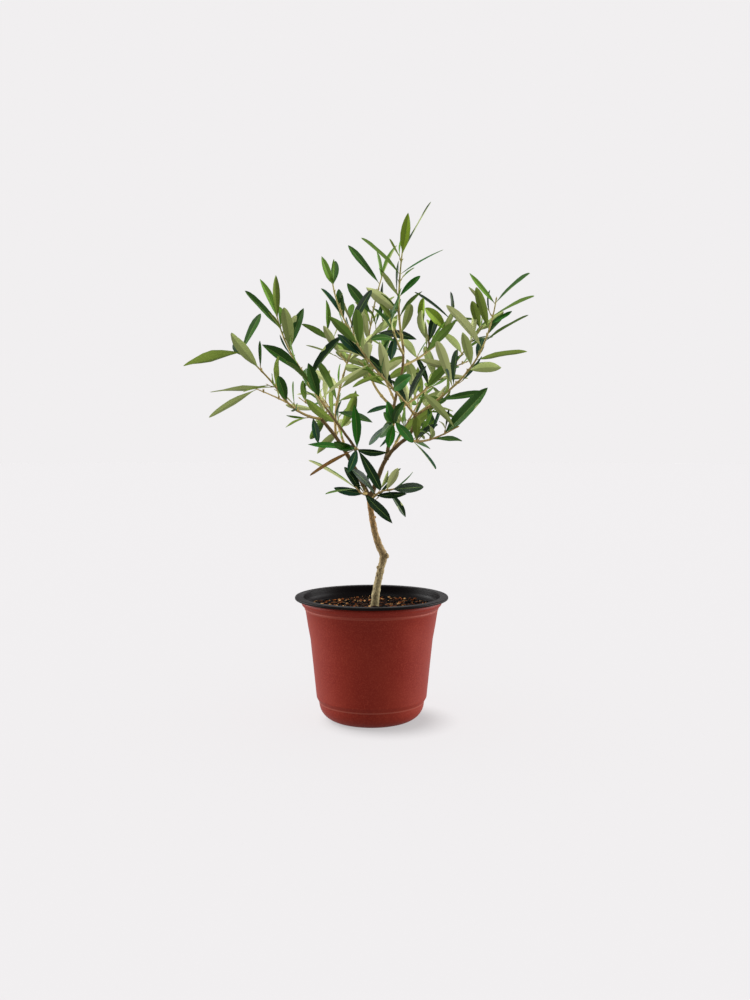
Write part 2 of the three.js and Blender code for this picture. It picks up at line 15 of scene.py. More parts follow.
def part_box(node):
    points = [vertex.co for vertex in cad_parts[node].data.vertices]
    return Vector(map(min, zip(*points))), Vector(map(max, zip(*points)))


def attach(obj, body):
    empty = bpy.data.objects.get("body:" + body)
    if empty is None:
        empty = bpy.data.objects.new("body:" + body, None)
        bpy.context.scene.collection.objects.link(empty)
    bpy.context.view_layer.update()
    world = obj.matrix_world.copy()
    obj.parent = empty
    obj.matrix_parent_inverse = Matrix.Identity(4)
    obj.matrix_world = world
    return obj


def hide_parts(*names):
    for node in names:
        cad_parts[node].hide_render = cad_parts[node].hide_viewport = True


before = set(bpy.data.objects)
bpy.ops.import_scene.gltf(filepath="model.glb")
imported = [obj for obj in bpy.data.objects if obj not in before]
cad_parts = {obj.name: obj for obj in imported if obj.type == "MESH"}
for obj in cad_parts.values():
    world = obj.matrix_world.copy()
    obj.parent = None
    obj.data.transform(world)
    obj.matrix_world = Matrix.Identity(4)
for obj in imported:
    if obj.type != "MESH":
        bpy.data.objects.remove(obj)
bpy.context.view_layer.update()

# %% [markdown]
# Lengths in the lists and constants below are easier to read in millimetres, the unit a grower or a
# mould maker uses. One constant turns them into Blender's metres where a vertex is placed.

# %% Units and small numbers
MM = 0.001
FULL_TURN = 2 * math.pi


def smooth(edge_low, edge_high, value):
    """0 below one edge, 1 above the other, and a soft step between."""
    share = min(max((value - edge_low) / (edge_high - edge_low), 0), 1)
    return share * share * (3 - 2 * share)


def screen(red, green, blue):
    """A colour as it is read on a screen, 0 to 255, turned into the linear values a shader takes."""
    return tuple(((value / 255 + 0.055) / 1.055) ** 2.4 for value in (red, green, blue))


# %% [markdown]
# The camera comes first, so that each part can be judged in the picture's own view. The plant is
# seen from a little under a metre away, almost level, with the camera tipped down a little. A
# camera could be aimed with a constraint, but a place and a tilt say the same with nothing to solve.

# %% The camera
CAMERA_PLACE = (0.0033, -0.948, 0.2686)
CAMERA_TILT_DOWN = math.radians(3.25)
LENS = 35.05

camera_data = bpy.data.cameras.new("camera")
camera_data.lens = LENS
camera_data.sensor_width = 36
camera = bpy.data.objects.new("camera", camera_data)
camera.location = CAMERA_PLACE
camera.rotation_euler = (math.pi / 2 - CAMERA_TILT_DOWN, 0, 0)
bpy.context.scene.collection.objects.link(camera)
bpy.context.scene.camera = camera
print("camera at", CAMERA_PLACE, "with a lens of", LENS, "mm")

# %% [markdown]
# Every finish is built from the same few moves: a shader, a pattern that is fixed to the object, a
# tint between two colours and a relief. Writing each move once keeps a finish down to a few lines.
# The patterns read Object coordinates, so they stay put on pieces whose own origin is the world's.

# %% A finish and its nodes
def new_finish(name, colour, roughness, gloss):
    """A material and its shader, with one plain colour; gloss is the strength of its reflections."""
    finish = bpy.data.materials.new(name)
    finish.use_nodes = True
    finish.diffuse_color = (*colour, 1)
    shader = finish.node_tree.nodes["Principled BSDF"]
    shader.inputs["Base Color"].default_value = (*colour, 1)
    shader.inputs["Roughness"].default_value = roughness
    shader.inputs["Specular IOR Level"].default_value = gloss
    return finish, shader


def link(finish, source, target):
    finish.node_tree.links.new(source, target)


def add_node(finish, kind, inputs):
    """A new node; each input is linked if a socket is given for it, and else set to the value."""
    node = finish.node_tree.nodes.new(kind)
    for name, value in inputs.items():
        if isinstance(value, bpy.types.NodeSocket):
            link(finish, value, node.inputs[name])
        else:
            node.inputs[name].default_value = value
    return node


def place_on_object(finish, stretch=(1, 1, 1)):
    """Object coordinates, stretched along each axis."""
    coordinates = add_node(finish, "ShaderNodeTexCoord", {})
    inputs = {"Vector": coordinates.outputs["Object"], "Scale": stretch}
    return add_node(finish, "ShaderNodeMapping", inputs).outputs["Vector"]


# %% [markdown]
# A pattern is a number at every point. A range node picks the part of it that matters, a mix node
# turns that into a colour between two, and a bump node turns it into a relief that catches light.

# %% Patterns, tints and reliefs
def clouds(finish, scale, detail=3, stretch=(1, 1, 1)):
    """A soft random pattern; scale counts its spots in a metre."""
    inputs = {"Vector": place_on_object(finish, stretch), "Scale": scale, "Detail": detail}
    return add_node(finish, "ShaderNodeTexNoise", inputs).outputs["Fac"]


def cells(finish, scale, stretch=(1, 1, 1)):
    """A pattern of separate random grains."""
    inputs = {"Vector": place_on_object(finish, stretch), "Scale": scale}
    return add_node(finish, "ShaderNodeTexVoronoi", inputs).outputs["Distance"]


def ranged(finish, value, low, high, new_low=0.0, new_high=1.0):
    """The value with low and high moved to new_low and new_high."""
    inputs = {"Value": value, "From Min": low, "From Max": high, "To Min": new_low, "To Max": new_high}
    return add_node(finish, "ShaderNodeMapRange", inputs).outputs["Result"]


def tint(finish, share, first, second):
    """A colour between two; each is a plain colour or the output of another tint."""
    node = add_node(finish, "ShaderNodeMix", {})
    node.data_type = "RGBA"
    link(finish, share, node.inputs["Factor"])
    for socket, colour in ((node.inputs["A"], first), (node.inputs["B"], second)):
        if isinstance(colour, tuple):
            socket.default_value = (*colour, 1)
        else:
            link(finish, colour, socket)
    return node.outputs["Result"]


def height_on_object(finish):
    """Height above the ground in metres."""
    split = add_node(finish, "ShaderNodeSeparateXYZ", {"Vector": place_on_object(finish)})
    return split.outputs["Z"]


def close_to(finish, value, target, reach):
    """1 where the value is within reach of the target, and 0 elsewhere."""
    node = add_node(finish, "ShaderNodeMath", {0: value, 1: target, 2: reach})
    node.operation = "COMPARE"
    return node.outputs["Value"]


def relief(finish, shader, height, depth, strength=1.0):
    """A bump of the given depth in metres."""
    inputs = {"Height": height, "Distance": depth, "Strength": strength}
    link(finish, add_node(finish, "ShaderNodeBump", inputs).outputs["Normal"], shader.inputs["Normal"])


# %% [markdown]
# A finished bmesh becomes an object in one place too. Each object stays at the origin, unturned, with
# its place in its vertices, hides the solid it stands for and takes its finishes.

# %% Helpers for pieces
def mesh_of(bm, name):
    """Turns a bmesh into a mesh and frees it."""
    mesh = bpy.data.meshes.new(name)
    bm.to_mesh(mesh)
    bm.free()
    return mesh


def add_object(name, bm, finishes):
    """Turns a bmesh into a smooth object with its finishes."""
    mesh = mesh_of(bm, name)
    for finish in finishes:
        mesh.materials.append(finish)
    mesh.polygons.foreach_set("use_smooth", [True] * len(mesh.polygons))
    piece = bpy.data.objects.new(name, mesh)
    bpy.context.scene.collection.objects.link(piece)
    return piece


def add_piece(name, bm, finishes, nodes):
    """Turns a bmesh into a piece of the plant that replaces the named solids."""
    piece = add_object(name, bm, finishes)
    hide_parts(*nodes)
    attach(piece, "root")
    print(name, "has", len(piece.data.polygons), "faces")


# %% [markdown]
# The studio is a wide sheet of pale paper under pale air of the same tone, so no horizon shows from
# any side. A curved cove would hide the horizon too, but it shades towards its wall. The paper glows
# softly, as a lit table does, which keeps the shadows on it faint.

# %% The paper floor
PAPER = screen(241, 239, 240)
PAPER_RADIUS = 14
PAPER_DROP = 0.0003
PAPER_SHADE = 0.2
PAPER_GLOW = 0.55

bm = bmesh.new()
bmesh.ops.create_circle(bm, cap_ends=True, radius=PAPER_RADIUS, segments=96)
bmesh.ops.translate(bm, verts=bm.verts, vec=(0, 0, -PAPER_DROP))
paper_colour = tuple(value * PAPER_SHADE for value in PAPER)
paper_finish, paper_shader = new_finish("studio_paper", paper_colour, 1.0, 0)
paper_shader.inputs["Emission Color"].default_value = (*PAPER, 1)
paper_shader.inputs["Emission Strength"].default_value = PAPER_GLOW
paper = add_object("paper", bm, [paper_finish])
print("paper floor", 2 * PAPER_RADIUS, "m across")

# %% [markdown]
# The light is soft and comes mostly from both sides, so the pot's flanks are lighter than its middle,
# with a weaker one from above. They are suns of a wide angle: like huge far panels they give soft
# edges. Low suns also throw shadows a metre long, so light linking keeps these three off the paper.
# A fourth light, almost overhead, falls on the paper alone and keeps the shadow short, by the foot.

# %% The lights
def add_soft_light(name, toward, power, width):
    """A very wide sun that shines from the given direction; width is its angle in degrees."""
    data = bpy.data.lights.new(name, "SUN")
    data.energy = power
    data.angle = math.radians(width)
    light = bpy.data.objects.new(name, data)
    light.rotation_euler = Vector(toward).to_track_quat("Z", "Y").to_euler()
    bpy.context.scene.collection.objects.link(light)
    return light


def link_paper(light, state):
    """Light linking: EXCLUDE keeps a light off the paper, and INCLUDE lets it fall on nothing else."""
    group = bpy.data.collections.new(light.name + "_paper")
    group.objects.link(paper)
    group.collection_objects[0].light_linking.link_state = state
    light.light_linking.receiver_collection = group


link_paper(add_soft_light("soft_left", (-1.0, 0.30, 0.10), 7.7, 40), "EXCLUDE")
link_paper(add_soft_light("soft_right", (1.0, 0.22, 0.08), 9.2, 40), "EXCLUDE")
link_paper(add_soft_light("soft_above", (-0.30, -0.20, 1.0), 2.7, 34), "EXCLUDE")
over_paper = add_soft_light("over_paper", (-0.26, 0.13, 1.0), 5.5, 34)
link_paper(over_paper, "INCLUDE")
print(len(bpy.data.lights), "soft lights")

# %% [markdown]
# The air matches the paper up to thirty degrees above level and is dimmer overhead, as in a room. A
# world of one tone would light everything from everywhere and wash the dark leaves out.

# %% The air
AIR_OVERHEAD = screen(150, 150, 152)
AIR_PALE_TO = 0.5
AIR_DIM_FROM = 0.9

world = bpy.data.worlds.new("studio_air")
world.use_nodes = True
direction = add_node(world, "ShaderNodeTexCoord", {})
height = add_node(world, "ShaderNodeSeparateXYZ", {"Vector": direction.outputs["Generated"]})
overhead = ranged(world, height.outputs["Z"], AIR_PALE_TO, AIR_DIM_FROM)
background = world.node_tree.nodes["Background"]
link(world, tint(world, overhead, PAPER, AIR_OVERHEAD), background.inputs["Color"])
bpy.context.scene.world = world
bpy.context.scene.view_settings.view_transform = "Standard"
print("pale air, dimmer overhead")

# %% [markdown]
# The pot's red is matt moulded plastic: one even colour with a very fine grain, a few cloudy
# patches and faint rings where it slid off its mould. Two edges, the bead and the soft ledge, have a
# thin paler band painted on: a painted highlight where they catch the light. The black inside has
# the same grain. Noise at three scales gives the grain, the patches and the rings with no picture.

# %% Finishes of the pot
POT_RED = screen(98, 22, 11)
POT_RED_WORN = screen(114, 38, 24)
# a paler red, painted on two edges as a highlight where they catch the light
POT_RED_HIGHLIGHT = screen(142, 80, 66)
POT_BLACK = screen(9, 7, 7)
POT_BLACK_DUSTY = screen(18, 13, 14)
# Each edge with a painted highlight is (height, reach up and down, share of the highlight colour).
HIGHLIGHT_EDGES = [(0.1089, 0.0014, 0.22), (0.0176, 0.0007, 0.36)]


def plastic_finish(name, colour, worn, edge_highlight, roughness, gloss, grain_depth):
    finish, shader = new_finish(name, colour, roughness, gloss)
    grain = clouds(finish, 850, 3)
    patches = clouds(finish, 26, 4)
    rings = clouds(finish, 9, 2, stretch=(1, 1, 60))
    marked = tint(finish, ranged(finish, patches, 0.42, 0.8, 0, 0.55), colour, worn)
    speckled = tint(finish, ranged(finish, grain, 0.46, 0.7), marked, worn)
    ringed = tint(finish, ranged(finish, rings, 0.5, 0.85, 0, 0.12), speckled, worn)
    # painted highlight: a thin paler band at each edge's height
    for height, reach, share in HIGHLIGHT_EDGES:
        near_highlight = close_to(finish, height_on_object(finish), height, reach)
        ringed = tint(finish, ranged(finish, near_highlight, 0, 1, 0, share), ringed, edge_highlight)
    link(finish, ringed, shader.inputs["Base Color"])
    rough = ranged(finish, patches, 0.3, 0.7, roughness - 0.05, roughness + 0.08)
    link(finish, rough, shader.inputs["Roughness"])
    relief(finish, shader, grain, grain_depth, 0.6)
    return finish


red_plastic = plastic_finish("red_plastic", POT_RED, POT_RED_WORN, POT_RED_HIGHLIGHT,
                             roughness=0.52, gloss=0.09, grain_depth=0.00006)
black_plastic = plastic_finish("black_plastic", POT_BLACK, POT_BLACK_DUSTY, POT_BLACK,
                               roughness=0.44, gloss=0.035, grain_depth=0.00005)
print("mixed", red_plastic.name, "and", black_plastic.name)

# %% [markdown]
# The pot is thin moulded plastic, so each skin is a profile spun about its middle. A profile is a
# list of corners, given as a radius and a height, with a true arc wherever it is round. The spin
# leaves doubled vertices at the axis, which are merged so that the pole is closed.

# %% A profile and its spin
def arc(centre, radius, start, end, steps):
    """Points (radius from the axis, height) on an arc, its angles in degrees from outwards to up."""
    points = []
    for step in range(steps + 1):
        angle = math.radians(start + (end - start) * step / steps)
        points.append((centre[0] + radius * math.cos(angle), centre[1] + radius * math.sin(angle)))
    return points


def spun(profile, steps):
    """A bmesh made by turning a profile once round the vertical axis."""
    bm = bmesh.new()
    verts = [bm.verts.new((radius * MM, 0, height * MM)) for radius, height in profile]
    edges = [bm.edges.new(pair) for pair in zip(verts, verts[1:])]
    bmesh.ops.spin(bm, geom=verts + edges, cent=(0, 0, 0), axis=(0, 0, 1), dvec=(0, 0, 0),
                   angle=FULL_TURN, steps=steps, use_merge=True)
    bmesh.ops.remove_doubles(bm, verts=bm.verts, dist=1e-6)
    bmesh.ops.recalc_face_normals(bm, faces=bm.faces)
    return bm


# %% [markdown]
# Working up from the flat underside, the red profile rounds into the foot, steps out over a soft
# ledge, tapers outwards up the wall, swells in a thin bead and flares under the rim. It then comes
# back down inside, one wall thickness in and without the bead, so the spin closes into a solid wall.

# %% The pot's red wall
POT_HEIGHT = 121
FOOT_RADIUS = 34.7
FOOT_ROUND = 16.9
LEDGE_FOOT = 17.6
LEDGE_HEIGHT = 22.8
LEDGE_RADIUS = 54.2
WALL_TAPER = [(57.5, 55.3), (60.0, 79.1), (62.5, 92.9), (64.8, 107.6)]
BEAD_RADIUS = 65.5
BEAD_HEIGHT = 108.9
BEAD_ROUND = 1.1
LIP_THICKNESS = 2.6
WALL_THICKNESS = 1.1
CLEARANCE = 0.3
COLLAR_TOP = POT_HEIGHT - LIP_THICKNESS - CLEARANCE
COLLAR = [(65.9, 110.4), (66.8, 111.5), (67.7, 112.5), (68.4, 113.4), (68.8, 114.8), (69.0, COLLAR_TOP)]
POT_STEPS = 160


def wall_radius_at(height):
    """Radius of the red wall at a height above the foot, without the bead."""
    stations = [(LEDGE_RADIUS, LEDGE_HEIGHT), *WALL_TAPER, *COLLAR]
    for (low_radius, low), (high_radius, high) in zip(stations, stations[1:]):
        if height <= high:
            return low_radius + (high_radius - low_radius) * (height - low) / (high - low)
    return COLLAR[-1][0]


def wall_profile():
    foot = arc((FOOT_RADIUS, FOOT_ROUND), FOOT_ROUND, -90, 0, 12)
    ledge = [(FOOT_RADIUS + FOOT_ROUND + 0.2, LEDGE_FOOT)]
    ledge += arc((LEDGE_RADIUS - 3, LEDGE_HEIGHT), 3, -34, 0, 4)
    bead = arc((BEAD_RADIUS - BEAD_ROUND, BEAD_HEIGHT), BEAD_ROUND, -48, 30, 6)
    outside = [(0, 0), (12, 0), (24, 0), *foot, *ledge, *WALL_TAPER, *bead, *COLLAR]
    heights = [height for _, height in reversed([*WALL_TAPER, *COLLAR])]
    inside = [(wall_radius_at(height) - WALL_THICKNESS, height) for height in [*heights, 24]]
    inside += arc((FOOT_RADIUS, FOOT_ROUND), FOOT_ROUND - WALL_THICKNESS, 0, -90, 8)
    return [*outside, *inside, (24, WALL_THICKNESS), (12, WALL_THICKNESS), (0, WALL_THICKNESS)]


bm = spun(wall_profile(), POT_STEPS)
print("wall of", len(bm.faces), "faces")

# %% [markdown]
# Six drain holes go through the base. They are cut with a boolean, which follows both faces of the
# skin at once; deleting faces by hand would leave ragged edges on a round hole.

# %% The drain holes
DRAIN_HOLES = 6
DRAIN_RADIUS = 3.5
DRAIN_RING = 23
DRILL_LENGTH = 6


def cut_by(body, cutter):
    """The mesh of body with cutter taken away."""
    scene = bpy.context.scene
    for holder in (body, cutter):
        scene.collection.objects.link(holder)
    modifier = body.modifiers.new("cut", "BOOLEAN")
    modifier.object = cutter
    modifier.operation = "DIFFERENCE"
    modifier.solver = "EXACT"
    bpy.context.view_layer.update()
    result = bpy.data.meshes.new_from_object(body.evaluated_get(bpy.context.evaluated_depsgraph_get()))
    for holder in (body, cutter):
        bpy.data.objects.remove(holder)
    return result


drills = bmesh.new()
for hole in range(DRAIN_HOLES):
    angle = FULL_TURN * hole / DRAIN_HOLES
    place = (DRAIN_RING * MM * math.cos(angle), DRAIN_RING * MM * math.sin(angle), 0)
    bmesh.ops.create_cone(drills, cap_ends=True, segments=24, radius1=DRAIN_RADIUS * MM,
                          radius2=DRAIN_RADIUS * MM, depth=DRILL_LENGTH * MM,
                          matrix=Matrix.Translation(place))
body = bpy.data.objects.new("wall_body", mesh_of(bm, "wall_body"))
cutter = bpy.data.objects.new("wall_drills", mesh_of(drills, "wall_drills"))
bm = bmesh.new()
bm.from_mesh(cut_by(body, cutter))
add_piece("pot_shell", bm, [red_plastic], ["pot_wall"])

# %% [markdown]
# The black part is a second skin: a flat rim with a rounded edge that lies on the red wall, and the
# inner face that runs down behind the soil. Its profile is a closed loop, so the spin makes a solid
# ring with no ends to close.

# %% The pot's black lining and rim
RIM_RADIUS = 75
MOUTH_RADIUS = 66.8
LIP_EDGE = 1.1
LINING_THICKNESS = 0.8
LINING_HEIGHTS = [93, 98, 103, 107.6, 110, 111.6, 113.4, 115.6]


def lining_profile():
    under = POT_HEIGHT - LIP_THICKNESS
    back = WALL_THICKNESS + CLEARANCE
    outside = [(wall_radius_at(height) - back, height) for height in LINING_HEIGHTS]
    inside = [(radius - LINING_THICKNESS, height) for radius, height in reversed(outside)]
    edge = RIM_RADIUS - LIP_EDGE
    rim = [(MOUTH_RADIUS, under), (70, under), (edge, under)]
    rim += arc((edge, under + LIP_EDGE), LIP_EDGE, -60, 0, 4)
    rim += arc((edge, POT_HEIGHT - LIP_EDGE), LIP_EDGE, 0, 90, 6)
    rim += [(72, POT_HEIGHT - 0.12), (69.5, POT_HEIGHT - 0.05)]
    rim += arc((MOUTH_RADIUS + LIP_EDGE, POT_HEIGHT - LIP_EDGE), LIP_EDGE, 90, 180, 6)
    return [*outside, *rim, *inside, outside[0]]


bm = spun(lining_profile(), POT_STEPS)
add_piece("pot_lining_and_rim", bm, [black_plastic], ["pot_lining"])

# %% [markdown]
# The plant's shadow is short: it lies close round the foot, as if only the low half of the pot cast
# it. Light linking can also name what blocks a light, so the light over the paper is blocked by one
# plain core alone, which stands inside the soil, out of sight. A real rim and crown would spread a
# wide grey haze.

# %% What shades the paper
CORE_PROFILE = [(0, 8), (36, 8), (48, 21), (52, 60), (0, 60)]
CORE_STEPS = 60

core = add_object("shade_core", spun(CORE_PROFILE, CORE_STEPS), [paper_finish])
shading = bpy.data.collections.new("paper_shading")
shading.objects.link(core)
over_paper.light_linking.blocker_collection = shading
print("the paper is shaded by", core.name, "alone")

# %% [markdown]
# The potting mix is coarse bark and fibre: a rough brown bed with loose crumbs on top, some nearly
# black, some orange, a few pale. The bed alone would look like felt, and crumbs alone would show
# gaps, so the bed is a spun solid whose top is pushed up and down by noise, and the crumbs lie on it.

# %% The soil bed
SOIL_HEIGHT = 110.5
SOIL_BOTTOM = 6
SOIL_GAP = 0.6
SOIL_RINGS = 26
SOIL_STEPS = 120
SOIL_RISE = 1.5
SOIL_LUMP = 0.8
SOIL_SINK = 0.5
TRUNK_FOOT = (2.9, 0.0)


def soil_profile():
    side = WALL_THICKNESS + CLEARANCE + LINING_THICKNESS + SOIL_GAP
    edge = wall_radius_at(SOIL_HEIGHT) - side
    low = [(0, SOIL_BOTTOM), (38, SOIL_BOTTOM), (50, 20)]
    wall = [(wall_radius_at(height) - side, height) for height in (30, 60, 90, 104)]
    top = [(edge * ring / SOIL_RINGS, SOIL_HEIGHT) for ring in range(SOIL_RINGS, -1, -1)]
    return [*low, *wall, *top]


def from_trunk(x, y):
    return math.hypot(x - TRUNK_FOOT[0], y - TRUNK_FOOT[1])


def soil_lift(x, y):
    """How far the soil surface stands above its level, in millimetres."""
    broad = noise.noise(Vector((x * 0.05, y * 0.05, 2.3)))
    lumps = noise.noise(Vector((x * 0.33, y * 0.33, 7.1)))
    return smooth(4, 12, from_trunk(x, y)) * (SOIL_RISE * broad + SOIL_LUMP * lumps - SOIL_SINK)


def potting_mix_finish():
    finish, shader = new_finish("potting_mix", screen(36, 21, 14), 0.95, 0.1)
    lumps = clouds(finish, 420, 4)
    flecks = cells(finish, 520)
    brown = tint(finish, ranged(finish, lumps, 0.4, 0.62), screen(5, 3, 2), screen(38, 18, 10))
    flecked = tint(finish, ranged(finish, flecks, 0.1, 0.32, 0.8, 0), brown, screen(22, 11, 7))
    link(finish, flecked, shader.inputs["Base Color"])
    relief(finish, shader, lumps, 0.0012)
    return finish


bm = spun(soil_profile(), SOIL_STEPS)
for vert in bm.verts:
    if vert.co.z > (SOIL_HEIGHT - 0.5) * MM:
        vert.co.z += soil_lift(vert.co.x / MM, vert.co.y / MM) * MM
add_piece("soil_bed", bm, [potting_mix_finish()], ["soil"])

# %% [markdown]
# Crumbs, leaves and their colours are all dealt by chance, but the plant has to be the same in every
# run. A stream of numbers that starts from a seed does both.

# %% Repeatable chance
def random_of(seed):
    """A repeatable stream of numbers from 0 to 1."""
    state = seed & 0xFFFFFFFF

    def draw():
        nonlocal state
        state = (state + 0x6D2B79F5) & 0xFFFFFFFF
        value = ((state ^ (state >> 15)) * (state | 1)) & 0xFFFFFFFF
        value ^= (value + (((value ^ (value >> 7)) * (value | 61)) & 0xFFFFFFFF)) & 0xFFFFFFFF
        return ((value ^ (value >> 14)) & 0xFFFFFFFF) / 4294967296

    return draw


def pick_sort(share, sorts):
    """The index of the sort whose turn it is, by the sorts' own shares."""
    for index, (_, _, portion) in enumerate(sorts):
        share -= portion
        if share < 0:
            return index
    return len(sorts) - 1


# %% [markdown]
# The crumbs are one small rough stone, an icosphere of twenty faces, copied about two thousand times
# with its own size, turn and squash, and joined into one mesh with a finish for each sort.

# %% The crumbs on the soil
CRUMBS = 2300
CRUMB_SEED = 41
CRUMB_LENGTHS = (1.2, 5.8)
CRUMB_SORTS = [
    ("crumb_black", screen(5, 3, 3), 0.5),
    ("crumb_brown", screen(50, 26, 12), 0.22),
    ("crumb_orange", screen(124, 66, 27), 0.18),
    ("crumb_pale", screen(200, 150, 96), 0.1),
]
CLEAR_OF_EDGE = 5
CLEAR_OF_TRUNK = 6


def crumb_finish(name, colour):
    finish, shader = new_finish(name, colour, 0.9, 0.1)
    speckle = clouds(finish, 900, 2)
    darker = tuple(value * 0.45 for value in colour)
    speckled = tint(finish, ranged(finish, speckle, 0.35, 0.65), darker, colour)
    link(finish, speckled, shader.inputs["Base Color"])
    relief(finish, shader, speckle, 0.0003)
    return finish


def add_crumb(bm, place, sort):
    """Adds one more stone to the bmesh, sized and placed by a matrix."""
    start = len(bm.faces)
    bm.from_mesh(stone_mesh)
    bm.verts.ensure_lookup_table()
    bm.faces.ensure_lookup_table()
    bmesh.ops.transform(bm, matrix=place, verts=bm.verts[-len(stone_mesh.vertices):])
    for face in bm.faces[start:]:
        face.material_index = sort


stone = bmesh.new()
bmesh.ops.create_icosphere(stone, subdivisions=1, radius=0.5)
stone_mesh = mesh_of(stone, "stone")
draw = random_of(CRUMB_SEED)
bed_edge = wall_radius_at(SOIL_HEIGHT) - CLEAR_OF_EDGE
bm = bmesh.new()
for _ in range(CRUMBS):
    out = bed_edge * math.sqrt(draw())
    angle = FULL_TURN * draw()
    x, y = out * math.cos(angle), out * math.sin(angle)
    long = CRUMB_LENGTHS[0] + (CRUMB_LENGTHS[1] - CRUMB_LENGTHS[0]) * draw() ** 1.6
    turn = Matrix.Rotation(FULL_TURN * draw(), 4, "Z") @ Matrix.Rotation(1.2 * (draw() - 0.5), 4, "X")
    size = Matrix.Diagonal((long, long * (0.22 + 0.3 * draw()), long * (0.2 + 0.3 * draw()), 1))
    sort = pick_sort(draw(), CRUMB_SORTS)
    if from_trunk(x, y) >= CLEAR_OF_TRUNK:
        height = SOIL_HEIGHT + soil_lift(x, y) + 0.25 * long * draw()
        place = Matrix.Scale(MM, 4) @ Matrix.Translation((x, y, height)) @ turn @ size
        add_crumb(bm, place, sort)
crumb_finishes = [crumb_finish(name, colour) for name, colour, _ in CRUMB_SORTS]
add_piece("soil_crumbs", bm, crumb_finishes, ["soil"])

# %% [markdown]
# Every limb follows a middle line, a list of points in millimetres. These helpers read a place along
# a line, round its corners off, and carry a side direction along it without twist.

# %% Middle lines
def between(values, share):
    """A list of values read at a share of its length, straight between neighbours."""
    place = share * (len(values) - 1)
    index = min(int(place), len(values) - 2)
    return values[index] + (values[index + 1] - values[index]) * (place - index)


def direction_of(heading, climb):
    """Heading in degrees from +X towards +Y, climb in degrees above level."""
    h, c = math.radians(heading), math.radians(climb)
    return Vector((math.cos(c) * math.cos(h), math.cos(c) * math.sin(h), math.sin(c)))


def lengths_along(path):
    lengths = [0]
    for before, after in zip(path, path[1:]):
        lengths.append(lengths[-1] + (after - before).length)
    return lengths


def piece_at(lengths, distance):
    index = 0
    while index < len(lengths) - 2 and lengths[index + 1] < distance:
        index += 1
    return index


def point_at(path, share):
    lengths = lengths_along(path)
    distance = share * lengths[-1]
    index = piece_at(lengths, distance)
    along = (distance - lengths[index]) / (lengths[index + 1] - lengths[index])
    return path[index].lerp(path[index + 1], along)


def frames_along(path):
    """The direction of each piece of a path, and a side direction carried along without twist."""
    ahead = [(after - before).normalized() for before, after in zip(path, path[1:])]
    sizes = [abs(value) for value in ahead[0]]
    side = Vector((0, 0, 0))
    side[sizes.index(min(sizes))] = 1
    sides = []
    for direction in ahead:
        side = (side - side.dot(direction) * direction).normalized()
        sides.append(side)
    return ahead, sides


def curved(path, steps):
    """The path made smooth: each straight piece becomes steps short ones on a curve through its ends."""
    points = [path[0] * 2 - path[1], *path, path[-1] * 2 - path[-2]]
    result = [path[0].copy()]
    for a, b, c, d in zip(points, points[1:], points[2:], points[3:]):
        for step in range(1, steps + 1):
            t = step / steps
            bend = (2 * a - 5 * b + 4 * c - d) * t * t + (3 * b - a - 3 * c + d) * t ** 3
            result.append((2 * b + (c - a) * t + bend) / 2)
    return result


# %% [markdown]
# The woody parts are lofts: a ring of vertices is extruded from station to station along a middle
# line and scaled to the limb's radius there. A curve with a bevel would give the same tube, but the
# extruded ring leaves real vertices that can take the bark's relief.

# %% Lofts
def ring_places(path, radii, room=0):
    """A matrix for each station that puts a ring of radius 1 there."""
    ahead, sides = frames_along(path)
    places = []
    for index, point in enumerate(path):
        direction = (ahead[max(index - 1, 0)] + ahead[min(index, len(ahead) - 1)]).normalized()
        side = sides[min(index, len(sides) - 1)]
        side = (side - side.dot(direction) * direction).normalized()
        across = direction.cross(side)
        radius = between(radii, index / (len(path) - 1)) + room
        shift = -room if index == 0 else room if index == len(path) - 1 else 0
        columns = Matrix((-across * radius, side * radius, direction * radius)).transposed()
        places.append(Matrix.Translation(point + shift * direction) @ columns.to_4x4())
    return places


def loft(path, radii, sides, room=0):
    """A closed tapering tube with flat ends; room is how much larger than life it is all round."""
    places = ring_places(path, radii, room)
    bm = bmesh.new()
    bmesh.ops.create_circle(bm, cap_ends=True, radius=1, segments=sides, matrix=places[0])
    bmesh.ops.reverse_faces(bm, faces=bm.faces)
    edges = list(bm.edges)
    for before, after in zip(places, places[1:]):
        grown = bmesh.ops.extrude_edge_only(bm, edges=edges)["geom"]
        verts = [item for item in grown if isinstance(item, bmesh.types.BMVert)]
        edges = [item for item in grown if isinstance(item, bmesh.types.BMEdge)]
        bmesh.ops.transform(bm, matrix=after @ before.inverted(), verts=verts)
    bmesh.ops.edgeloop_fill(bm, edges=edges)
    bmesh.ops.recalc_face_normals(bm, faces=bm.faces)
    return bm


def short_end(start, reach, radius, shape, sides):
    """A small blunt loft; shape has a share of reach and a share of radius for each ring."""
    path = [start + reach * along for along, _ in shape]
    return loft(path, [radius * share for _, share in shape], sides)


def add_mesh(bm, other):
    """Adds another bmesh to this one and frees it."""
    mesh = mesh_of(other, "joining")
    bm.from_mesh(mesh)
    bpy.data.meshes.remove(mesh)
